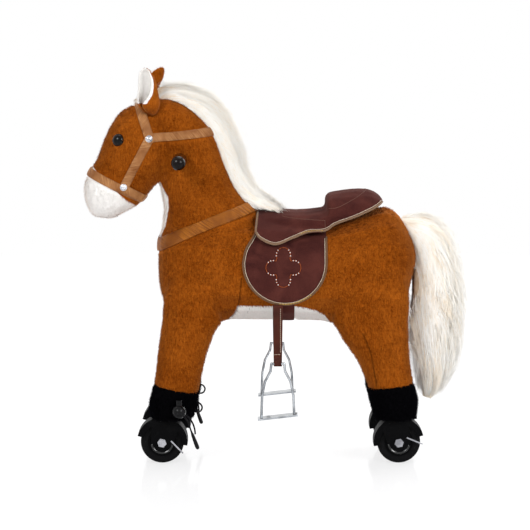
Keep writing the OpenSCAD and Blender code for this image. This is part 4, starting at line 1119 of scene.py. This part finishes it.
class HORSE_OT_mane(bpy.types.Operator):
    """Long cream fur along the crest, and a forelock"""
    bl_idname = "horse.mane"
    bl_label = "Mane"

    def execute(self, context):
        fur = context.scene.horse_fur
        material = long_fur("long pile acrylic fur", fur.root, fur.tip)
        stations = [
            ((-208, 610), (-206, 655), 6, 0), ((-192, 612), (-190, 660), 9, 0),
            ((-168, 606), (-152, 657), 14, 0), ((-142, 592), (-107, 639), 18, 0),
            ((-124, 572), (-80, 610), 18, 0), ((-112, 548), (-63, 574), 18, 0),
            ((-103, 522), (-50, 541), 18, 0), ((-93, 494), (-47, 513), 18, 0),
            ((-80, 468), (-37, 489), 18, -2), ((-66, 453), (-26, 471), 17, -6),
            ((-54, 446), (-6, 456), 15, -14), ((-36, 440), (14, 443), 10, -26),
            ((-12, 436), (24, 434), 5, -36),
        ]
        core = link_piece("mane_core", mesh_from("mane_core", *loft(stations[:-2], shrink=0.6)), material,
                          slot="cream_fur", replaces=["mane"])
        locks("mane_fur", stations, fur.mane_locks, fur.strands, material, "horse", seed=11,
              width=fur.strand_width, roots=(-0.02, 0.82), runs=(0.1, 0.26))
        locks("mane_wisps", stations, fur.loose_hairs, strands=5, material=material, body="horse", seed=14,
              width=0.6 * fur.strand_width, roots=(0.0, 0.86), runs=(0.07, 0.17), reach=(0.98, 1.32),
              wild=True)
        fringe = [
            ((-214, 612), (-206, 634), 8, 0), ((-224, 614), (-222, 638), 12, 0),
            ((-234, 612), (-236, 636), 12, 0), ((-242, 608), (-246, 630), 10, 0),
            ((-248, 604), (-252, 620), 5, 0),
        ]
        locks("forelock_fur", fringe, count=30, strands=18, material=material, body="horse", seed=12,
              width=fur.strand_width, roots=(0.0, 0.3), runs=(0.4, 0.7))
        return {"FINISHED"}


class HORSE_OT_tail(bpy.types.Operator):
    """Long cream fur tail on its dock"""
    bl_idname = "horse.tail"
    bl_label = "Tail"

    def execute(self, context):
        fur = context.scene.horse_fur
        material = bpy.data.materials["long pile acrylic fur"]
        stations = [
            ((220, 413), (226, 424), 8, 0), ((228, 402), (262, 429), 20, 0), ((235, 386), (293, 417), 30, 0),
            ((240, 366), (313, 395), 35, 0), ((243, 338), (329, 350), 38, 0), ((247, 304), (336, 303), 40, 0),
            ((240, 268), (338, 262), 41, 0), ((236, 236), (336, 232), 41, 0), ((238, 196), (332, 190), 39, 0),
            ((243, 158), (321, 150), 34, 0), ((252, 124), (300, 117), 25, 0), ((258, 104), (282, 98), 13, 0),
        ]
        core = link_piece("tail_core", mesh_from("tail_core", *loft(stations, shrink=0.66)), material,
                          "tail", "cream_fur", ["tail"])
        locks("tail_fur", stations, fur.tail_locks, fur.strands, material, "tail", seed=13,
              width=fur.strand_width * 1.1, roots=(-0.05, 0.74), runs=(0.2, 0.42))
        locks("tail_wisps", stations, fur.loose_hairs, strands=6, material=material, body="tail", seed=15,
              width=0.6 * fur.strand_width, roots=(0.0, 0.9), runs=(0.06, 0.16), reach=(0.98, 1.22),
              wild=True)
        backing = brushed_suede("knitted polyester backing", "#8d7760", "#c9b196", "#d8c6b0")
        fold = [(252, -18, 340), (250, -22, 324), (249.5, -24, 306), (249, -23, 288), (246, -20, 272),
                (241, -16, 258)]
        parts = []
        for sign in SIDES.values():
            line = curve_points([np.array((x, -sign * y, z)) * MM for x, y, z in fold], 5)
            swell = np.interp(np.linspace(0, 1, len(line)), [0, 0.2, 0.55, 1], [2.5, 6.5, 6.0, 2.0]) * MM
            parts.append(tube(line, swell, sides=12, flat=0.6))
        link_parts("tail_backing", parts, backing, body="tail", slot="cream_fur")
        return {"FINISHED"}


class HORSE_OT_eyes(bpy.types.Operator):
    """Domed acrylic eyes on a rim"""
    bl_idname = "horse.eyes"
    bl_label = "Eyes"

    def execute(self, context):
        material = acrylic_eye("cast acrylic eye", "#030303", "#1d100a")
        tree = tree_of(bpy.data.objects["coat"].data)
        dome = [(11.4, -2), (11.4, 0.4), (11, 1.0), (10.5, 1.2), (10.3, 1.6)]
        dome += [(10.3 * math.cos(a), 1.6 + 6.6 * math.sin(a)) for a in np.linspace(0.12, 1.5, 10)]
        dome += [(0.01, 8.2)]
        parts = []
        for sign in SIDES.values():
            spot = on_side(tree, -271, 558.5, sign)
            axis = Vector((-0.18, sign, 0.05)).normalized()
            parts.append(lathe([(r * MM, h * MM) for r, h in dome], spot - axis * 0.4 * MM, axis))
        link_parts("acrylic_eyes", parts, material, slot="black_plastic", replaces=["eyes"])
        return {"FINISHED"}


class HORSE_OT_bridle(bpy.types.Operator):
    """Leatherette bridle, breast strap and their rivets"""
    bl_idname = "horse.bridle"
    bl_label = "Bridle"

    def execute(self, context):
        tack = context.scene.horse_tack
        skin = bpy.data.objects["coat"]
        tan = leatherette("embossed leatherette tan", tack.bridle_deep, tack.bridle_light, creased=0.45)
        worn = leatherette(
            "embossed leatherette tan worn", tack.breast_deep, tack.breast_light, creased=0.75)
        upper, lower = (-218, 0, 561.5), (-263, 0, 476.5)
        w, lift, thick = tack.strap_width, tack.strap_lift, tack.strap_thick
        straps = {
            "crown_strap": [strap_on(skin, (-226, 0, 561.5), (-71, 0, 575.5), w, lift, thick)],
            "browband": [strap_on(skin, (-215.4, 0, 553.9), (-248, 0, 650.5), w, lift + 1.2 * MM, thick)],
            "cheek_straps": [strap_on(skin, upper, lower, w, lift, thick)],
            "noseband": [strap_on(skin, (-345, 0, 512), (-229, 0, 455), w, lift, thick)],
            "breast_strap": [strap_on(skin, *BREAST_LINE, tack.breast_width, lift, thick, bow=BREAST_BOW)],
        }
        for sign in SIDES.values():
            straps["noseband"].append(self.tab(skin, sign, w, thick))
        made = []
        for name, parts in straps.items():
            finish = worn if name == "breast_strap" else tan
            strap = link_parts(f"leatherette_{name}", parts, finish, slot="tan_leatherette", replaces=[name])
            made.append(strap.data)
        tree = tree_of(skin.data, *made)
        chrome = plated_steel("nickel plated rivet", "#a8a8ae", "#e4e4e8", roughness=0.1)
        dome = [(6.4, -1.6), (6.4, 0.2), (6.1, 0.7), (5.2, 1.0), (5.0, 0.8), (4.4, 1.4), (3.2, 2.2),
                (1.6, 2.6), (0.01, 2.7)]
        rivets = []
        for sign in SIDES.values():
            for x, _, z in (upper, (-263, 0, 477)):
                spot, normal = side_hit(tree, x, z, sign)
                axis = Vector((normal.x * 0.5, sign, normal.z * 0.5))
                rivets.append(lathe([(r * MM, h * MM) for r, h in dome], spot, axis))
        link_parts("domed_rivets", rivets, chrome, slot="bright_steel", replaces=["bridle_rivets"])
        return {"FINISHED"}

    @staticmethod
    def tab(skin, sign, width, thick):
        """The noseband's free end, which stands off the jaw."""
        tree = tree_of(skin.data)
        line = []
        # Place in the side view and height off the jaw, in millimetres
        route = [(-262, 474, 3), (-254, 470, 4), (-247, 466, 5), (-240, 462, 6), (-234, 458, 6),
                 (-230, 455, 6)]
        for x, z, lift in route:
            spot = on_side(tree, x, z, sign)
            y = spot.y if spot else line[-1][1] * 0.93
            line.append(np.array([x * MM, y + (sign * lift * MM if spot else 0), z * MM]))
        return tube(line, width * 0.5, sides=12, flat=thick / width)


class HORSE_OT_saddle(bpy.types.Operator):
    """Padded suede seat with a raised cantle, bound at its edge"""
    bl_idname = "horse.saddle"
    bl_label = "Saddle seat"

    def execute(self, context):
        tack = context.scene.horse_tack
        suede = brushed_suede("brushed microfibre suede", tack.suede_deep, tack.suede_light, "#b08a80")
        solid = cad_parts["saddle_seat"].data.copy()
        mesh = remeshed("saddle_seat", solid, voxel=2.6 * MM, rounds=22)
        points, normals = points_of(mesh), normals_of(mesh)
        # The stuffed roll of the cantle stands out over the front of its foot
        near = hill(np.hypot(points[:, 0] - 99 * MM, points[:, 2] - 452 * MM), 13 * MM)
        points += normals * (7 * MM * near * np.clip(0.3 - normals[:, 0], 0, 1))[:, None]
        move_points(mesh, points)
        seat = link_piece("suede_seat", mesh, suede, slot="maroon_suede", replaces=["saddle_seat"])
        tree = tree_of(mesh)
        tape = woven_tape("woven polyester binding", "#5a4030", "#93785f")
        gold = woven_tape("spun polyester thread gold", "#a07a2c", "#dcb860")
        pale = woven_tape("pale polyester thread and painted binding highlight", "#b39a80", "#e4d5c2")
        dark = woven_tape("spun polyester thread dark", "#3a1f1a", "#7a5145")
        edge = [(-29, 438), (-32, 418), (-32.5, 403), (-22, 392), (1, 384.5), (29, 394), (56.5, 403.5),
                (85.5, 405.5), (106, 416.5), (139, 428), (172, 441.5), (187, 450)]
        bound, binding_highlights, seams, tacked = [], [], [], []
        for sign in SIDES.values():
            line = side_line(tree, edge, sign, 0.3 * MM)
            bound.append(tube(line, tack.binding, sides=10))
            # Painted highlight: a thin pale line along the upper side of the binding, where it would catch
            # the light, drawn as pale thread
            inner = [(x + 0.2 * (16.5 - x) * 0.05, z + 2.7) for x, z in edge]
            binding_highlights.append(tube(side_line(tree, inner, sign, 0.3 * MM), radius=0.5 * MM, sides=6))
            hem = side_line(tree, [(44, 400.5), (56.5, 403.5), (85.5, 405.5)], sign, 1.9 * MM)
            tacked += stitches(hem, length=3.4 * MM, gap=1.2 * MM, radius=0.6 * MM)
            for run in ([(12, 428), (30, 425), (60, 423), (86, 422)], [(86, 422), (86.5, 409)],
                        [(93, 442), (110, 445), (136, 457), (152, 466), (160, 471)]):
                seams.append(tube(side_line(tree, run, sign, 0.0), radius=0.6 * MM, sides=6))
        for name, parts, material, slot in (
                ("seat_binding", bound, tape, "tan_leatherette"),
                ("seat_binding_highlight", binding_highlights, pale, "tan_leatherette"),
                ("seat_seams", seams, dark, "maroon_suede"),
                ("seat_hem_stitch", tacked, gold, "tan_leatherette")):
            link_parts(name, parts, material, slot=slot)
        return {"FINISHED"}


class HORSE_OT_flaps(bpy.types.Operator):
    """Suede flaps that hang over the barrel, bound, stitched and embroidered, and the girth"""
    bl_idname = "horse.flaps"
    bl_label = "Saddle flaps"
    # The points of a flap's outline that aren't under the seat
    OPEN_EDGE = slice(2, 82)

    def execute(self, context):
        tack = context.scene.horse_tack
        suede = bpy.data.materials["brushed microfibre suede"]
        tape = woven_tape("woven polyester binding dark", "#4a3221", "#7a5c43")
        pale = bpy.data.materials["pale polyester thread and painted binding highlight"]
        orange = woven_tape("rayon embroidery thread orange", tack.flower_deep, tack.flower_light)
        beads = woven_tape("rayon embroidery thread white", "#e6cfc8", "#fff6f2")
        gold = bpy.data.materials["spun polyester thread gold"]
        skin = bpy.data.objects["coat"]
        outline = self.outline()
        middle = np.array([16.5, 346.0])
        # How far a flap's edge hangs off the coat, and its padding on top of that, in millimetres
        gap, padding = 3.0, 2.2
        rings, sectors = 16, len(outline)
        for side, sign in SIDES.items():
            reach = self.hang(skin, sign)
            points = []
            for r in np.linspace(0.02, 1, rings):
                for p in outline:
                    x, z = middle + (p - middle) * r
                    y = reach(x, z) + gap + padding * (1 - r ** 4)
                    points.append((x * MM, sign * y * MM, z * MM))
            faces = ring_faces(rings, sectors) + end_faces(rings, sectors)[:1]
            faces = faces if sign > 0 else [f[::-1] for f in faces]
            mesh = mesh_from(f"flap_{side}", points, faces)
            flap = link_piece(f"suede_flap_{side}", mesh, suede, slot="maroon_suede",
                              replaces=[f"saddle_flap_{side}"])
            body = flap.modifiers.new("thickness", "SOLIDIFY")
            body.thickness = 3 * MM
            body.offset = -1

            def at(x, z, lift):
                """A place of the side view on this flap, raised off its edge's level."""
                return (x * MM, sign * (reach(x, z) + gap + lift) * MM, z * MM)

            rim = outline[self.OPEN_EDGE]
            hem = np.array([at(x, z, 0.4) for x, z in rim])
            # Painted highlight: a thin pale line just inside the binding, where it would catch the light,
            # drawn as pale thread
            cord = np.array([at(*(middle + (p - middle) * 0.962), 1.3) for p in rim])
            stitched = np.array([at(*(middle + (p - middle) * 0.985), 2.2) for p in rim[40:57]])
            hem_stitches = stitches(stitched, length=3.4 * MM, gap=1.2 * MM, radius=0.7 * MM)
            flower, dots = self.quatrefoil(lambda x, z: at(x, z, 3.0), tack.thread)
            groups = (
                ("flap_binding", [tube(hem, tack.binding, sides=10)], tape, "tan_leatherette"),
                ("flap_binding_highlight", [tube(cord, radius=0.5 * MM, sides=6)], pale, "tan_leatherette"),
                ("flap_hem_stitch", hem_stitches, gold, "tan_leatherette"),
                ("flap_flower", flower, orange, "maroon_suede"),
                ("flap_flower_beads", dots, beads, "maroon_suede"),
            )
            for name, parts, material, slot in groups:
                link_parts(f"{name}_{side}", parts, material, slot=slot)
        band = strap_on(skin, (16.5, 0, 206), (16.5, 0, 306), tack.girth_width, tack.strap_lift,
                        tack.strap_thick, below=284)
        link_parts("suede_girth", [band], suede, slot="maroon_suede", replaces=["girth"])
        return {"FINISHED"}

    @staticmethod
    def outline():
        """Edge of a flap in the side view, in millimetres, from its front top corner round to the back."""
        x, radius, low, top = 16.5, 71.5, 281.5, 406.0
        arc = [(x + radius * math.cos(a), low + radius + radius * math.sin(a))
               for a in np.linspace(math.pi, 2 * math.pi, 60)]
        front = curve_points([np.array(p) for p in ((-30, 408), (-38, 394), (-50, 375), (-55, 353))], 5)[:-1]
        back = [(x + radius, z) for z in np.linspace(low + radius, top, 10)[1:]]
        roof = [(q, top) for q in np.linspace(x + radius, -30, 14)[1:-1]]
        return np.array(list(map(tuple, front)) + arc + back + roof)

    @staticmethod
    def hang(skin, sign):
        """How far out a flap hangs at each place of the side view, in millimetres."""
        tree = tree_of(skin.data)
        xs, zs = np.linspace(-60, 95, 32), np.linspace(416, 268, 50)
        # From the top down, so that a flap doesn't fall back in below the widest place above it
        table = np.zeros((len(zs), len(xs)))
        for i, z in enumerate(zs):
            for j, x in enumerate(xs):
                spot = on_side(tree, x, z, sign)
                here = abs(spot.y) / MM if spot else 0.0
                table[i, j] = max(here, table[i - 1, j] if i else 0.0)

        def reach(x, z):
            """The table's value between its places."""
            i = np.interp(z, zs[::-1], np.arange(len(zs))[::-1])
            j = np.interp(x, xs, np.arange(len(xs)))
            a, b = int(min(i, len(zs) - 2)), int(min(j, len(xs) - 2))
            f, g = i - a, j - b
            return ((table[a, b] * (1 - f) + table[a + 1, b] * f) * (1 - g)
                    + (table[a, b + 1] * (1 - f) + table[a + 1, b + 1] * f) * g)

        return reach

    @staticmethod
    def quatrefoil(place, thread):
        """A four-lobed outline of thread with beads of thread on its shoulders."""
        middle, lobe = np.array([14.0, 345.0]), 12.2
        far = {0: 17.8, 1: 21.0, 2: 17.8, 3: 21.0}
        line, dots = [], []
        for turn, distance in far.items():
            way = turn * math.pi / 2
            centre = middle + distance * np.array([math.cos(way), math.sin(way)])
            for a in np.linspace(-2.0, 2.0, 25):
                line.append(centre + lobe * np.array([math.cos(way + a), math.sin(way + a)]))
            for s in (-1, 1):
                for a in np.linspace(0.85, 1.65, 3):
                    dots.append(centre + lobe * np.array([math.cos(way + s * a), math.sin(way + s * a)]))
        path = np.array([place(x, z) for x, z in line])
        knots = []
        for x, z in dots:
            spot = np.array(place(x, z))
            knots.append(tube([spot + np.array([0, 0, d]) * MM for d in (-1.0, -0.5, 0.5, 1.0)],
                              np.array([0.4, 1.0, 1.0, 0.4]) * MM, sides=8))
        return [tube(path, thread, sides=6, closed=True)], knots


class HORSE_OT_leathers(bpy.types.Operator):
    """Stirrup leathers, folded round the stirrup's bar and stitched"""
    bl_idname = "horse.leathers"
    bl_label = "Stirrup leathers"

    def execute(self, context):
        tack = context.scene.horse_tack
        brown = leatherette(
            "embossed leatherette brown", tack.leather_deep, tack.leather_light, creased=0.45)
        pale = bpy.data.materials["pale polyester thread and painted binding highlight"]
        for side, sign in SIDES.items():
            low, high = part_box(f"stirrup_leather_{side}")
            middle = (low + high) / 2
            thick = 2.6 * MM
            rows = np.linspace(high.z - 0.5 * MM, low.z + 0.6 * MM, 34)
            points, along, across = [], [], []
            sides = 20
            for z in rows:
                t = (high.z - z) / (high.z - low.z)
                # Narrower towards the stirrup, with a roll in the hem and a fold round the stirrup's bar
                half = (8.7 - 1.6 * t) * MM
                roll = 2.9 * MM if t < 0.045 else thick / 2 + max(0, t - 0.84) * 13 * MM
                for k in range(sides):
                    a = 2 * math.pi * k / sides
                    flat = math.copysign(abs(math.cos(a)) ** 0.45, math.cos(a))
                    deep = math.copysign(abs(math.sin(a)) ** 0.7, math.sin(a))
                    points.append((middle.x + half * flat, middle.y + roll * deep, z))
                    along.append(high.z - z)
                    across.append(half * flat)
            # The rows run downwards, so every face is turned round
            faces = [f[:1] + f[:0:-1] for f in ring_faces(len(rows), sides)]
            faces += [f[::-1] for f in end_faces(len(rows), sides)]
            body = f"leather_{side}"
            mesh = mesh_from(body, points, faces, along=along, across=across)
            link_piece(f"strap_{body}", mesh, brown, body, "brown_leatherette", [f"stirrup_leather_{side}"])
            out = middle.y + sign * (thick / 2 + 0.15 * MM)
            line = [(middle.x + 4.6 * MM, out, z) for z in np.linspace(high.z - 6 * MM, low.z + 24 * MM, 12)]
            foot = low.z + 21 * MM
            cross = [(middle.x + d * MM, out + sign * 0.2 * MM, foot) for d in np.linspace(-6, 6, 5)]
            parts = stitches(line, length=2.6 * MM, gap=0.9 * MM, radius=0.45 * MM)
            parts += stitches(cross, length=1.9 * MM, gap=0.8 * MM, radius=0.45 * MM)
            link_parts(f"stitches_{body}", parts, pale, body=body, slot="brown_leatherette")
        return {"FINISHED"}


class HORSE_OT_hardware(bpy.types.Operator):
    """Finishes of the wheels, forks, stirrups, handles, locks and the steel frame"""
    bl_idname = "horse.hardware"
    bl_label = "Wheels and metal"

    def execute(self, context):
        parts = context.scene.horse_hardware
        rubber = moulded("moulded rubber tyre", parts.tyre, parts.tyre_worn,
                         roughness=0.5, grain_mm=1.4, bump=0.4, gloss=0.08)
        plastic = moulded("moulded polypropylene black", parts.plastic, parts.plastic_worn,
                          roughness=0.42, grain_mm=2.2, bump=0.1, gloss=0.05)
        polished = moulded("moulded polypropylene polished", "#050506", "#0c0c0e",
                           roughness=0.1, grain_mm=2.2, bump=0.04, gloss=0.5)
        satin = moulded("moulded nylon cord lock", "#050506", "#0f0e10",
                        roughness=0.2, grain_mm=1.8, bump=0.08)
        grip = moulded("lacquered handle grip", "#0c0605", "#1c100b",
                       roughness=0.12, grain_mm=3.0, bump=0.04, gloss=0.12)
        zinc = plated_steel("zinc plated steel", "#8a8b90", "#c4c5ca", roughness=0.24)
        chrome = plated_steel("chrome plated steel", parts.chrome_deep, parts.chrome_light, roughness=0.1)
        paint = moulded("powder coated steel", "#101011", "#1e1e20", roughness=0.5, grain_mm=1.5, bump=0.3)
        finishes = {
            rubber: [f"tyre_{c}" for c in CORNERS],
            plastic: [f"{part}_{c}" for part in ("fork", "rim") for c in CORNERS],
            satin: ["cord_locks", "lock_button_left", "lock_button_right"],
            grip: ["handle_grip_left", "handle_grip_right"],
            zinc: ["axle_bolts", "axle_nuts", "wheel_stop_springs", "frame_bolts", "handle_bar"],
            chrome: ["stirrup_left", "stirrup_right"],
            paint: ["front_leg_frame", "rear_leg_frame", "spine_tube", "neck_post"],
        }
        self.fork_lips(polished)
        softened = {plastic: 1.3 * MM, rubber: 0.8 * MM, zinc: 0.5 * MM, chrome: 0.5 * MM}
        for material, names in finishes.items():
            for name in names:
                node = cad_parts[name]
                node.data.materials.clear()
                node.data.materials.append(material)
                node.data.shade_smooth()
                node.data.set_sharp_from_angle(angle=math.radians(35))
                if material in softened and name not in ("frame_bolts", "handle_bar"):
                    edge = node.modifiers.new("edge", "BEVEL")
                    edge.width = softened[material]
                    edge.segments = 3
                    edge.harden_normals = True
                    edge.limit_method = "ANGLE"
                    edge.angle_limit = math.radians(50)
        return {"FINISHED"}

    @staticmethod
    def fork_lips(material):
        """The polished lip moulded along the lower end of each fork arm, whose slope catches the lamps."""
        # Radius about the axle and height above the arm's face, in millimetres
        profile = [(19.9, -0.6), (19.9, 1.2), (19.7, 1.42), (19.4, 1.4), (17.0, 0.28), (16.7, 0.1),
                   (16.4, -0.4)]
        angles = np.linspace(math.radians(190), math.radians(345), 48)
        row = len(profile)
        parts = []
        for corner in CORNERS:
            axle = sum((Vector(p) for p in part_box(f"tyre_{corner}")), Vector()) / 2
            for face, end in zip((-1, 1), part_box(f"fork_{corner}")):
                points = [
                    (axle.x + r * MM * math.cos(a), end[1] + face * h * MM, axle.z + r * MM * math.sin(a))
                    for a in angles for r, h in profile
                ]
                faces = [[i * row + k, i * row + k + 1, (i + 1) * row + k + 1, (i + 1) * row + k]
                         for i in range(len(angles) - 1) for k in range(row - 1)]
                faces += [list(range(row))[::-1], [len(points) - row + k for k in range(row)]]
                parts.append((points, faces if face < 0 else [f[::-1] for f in faces], {}))
        link_parts("fork_lips", parts, material, slot="black_plastic")


OPERATORS = [
    HORSE_OT_stage, HORSE_OT_drawstrings, HORSE_OT_coat, HORSE_OT_cuffs, HORSE_OT_ears, HORSE_OT_mane,
    HORSE_OT_tail, HORSE_OT_eyes, HORSE_OT_bridle, HORSE_OT_saddle, HORSE_OT_flaps, HORSE_OT_leathers,
    HORSE_OT_hardware,
]


class HORSE_PT_pieces(bpy.types.Panel):
    """Lists the pieces of the horse, and their sizes and colours"""
    bl_idname = "HORSE_PT_pieces"
    bl_label = "Ride-On Horse"
    bl_space_type = "VIEW_3D"
    bl_region_type = "UI"
    bl_category = "Horse"

    def draw(self, context):
        for operator in OPERATORS:
            self.layout.operator(operator.bl_idname)
        for name, group in GROUPS.items():
            box = self.layout.box()
            for key in group.__annotations__:
                box.prop(getattr(context.scene, name), key)


GROUPS = {
    "horse_plush": HorsePlush, "horse_fur": HorseFur, "horse_tack": HorseTack,
    "horse_hardware": HorseHardware, "horse_stage": HorseStage,
}


def register():
    """Registers the property groups, the operators and the panel."""
    for group in GROUPS.values():
        bpy.utils.register_class(group)
    for name, group in GROUPS.items():
        setattr(bpy.types.Scene, name, PointerProperty(type=group))
    for operator in OPERATORS:
        bpy.utils.register_class(operator)
    bpy.utils.register_class(HORSE_PT_pieces)


def unregister():
    """Takes them out again."""
    bpy.utils.unregister_class(HORSE_PT_pieces)
    for operator in reversed(OPERATORS):
        bpy.utils.unregister_class(operator)
    for name, group in GROUPS.items():
        delattr(bpy.types.Scene, name)
        bpy.utils.unregister_class(group)


def main():
    """Makes every piece in order."""
    register()
    for operator in OPERATORS:
        family, name = operator.bl_idname.split(".")
        getattr(getattr(bpy.ops, family), name)()


if __name__ == "__main__":
    main()
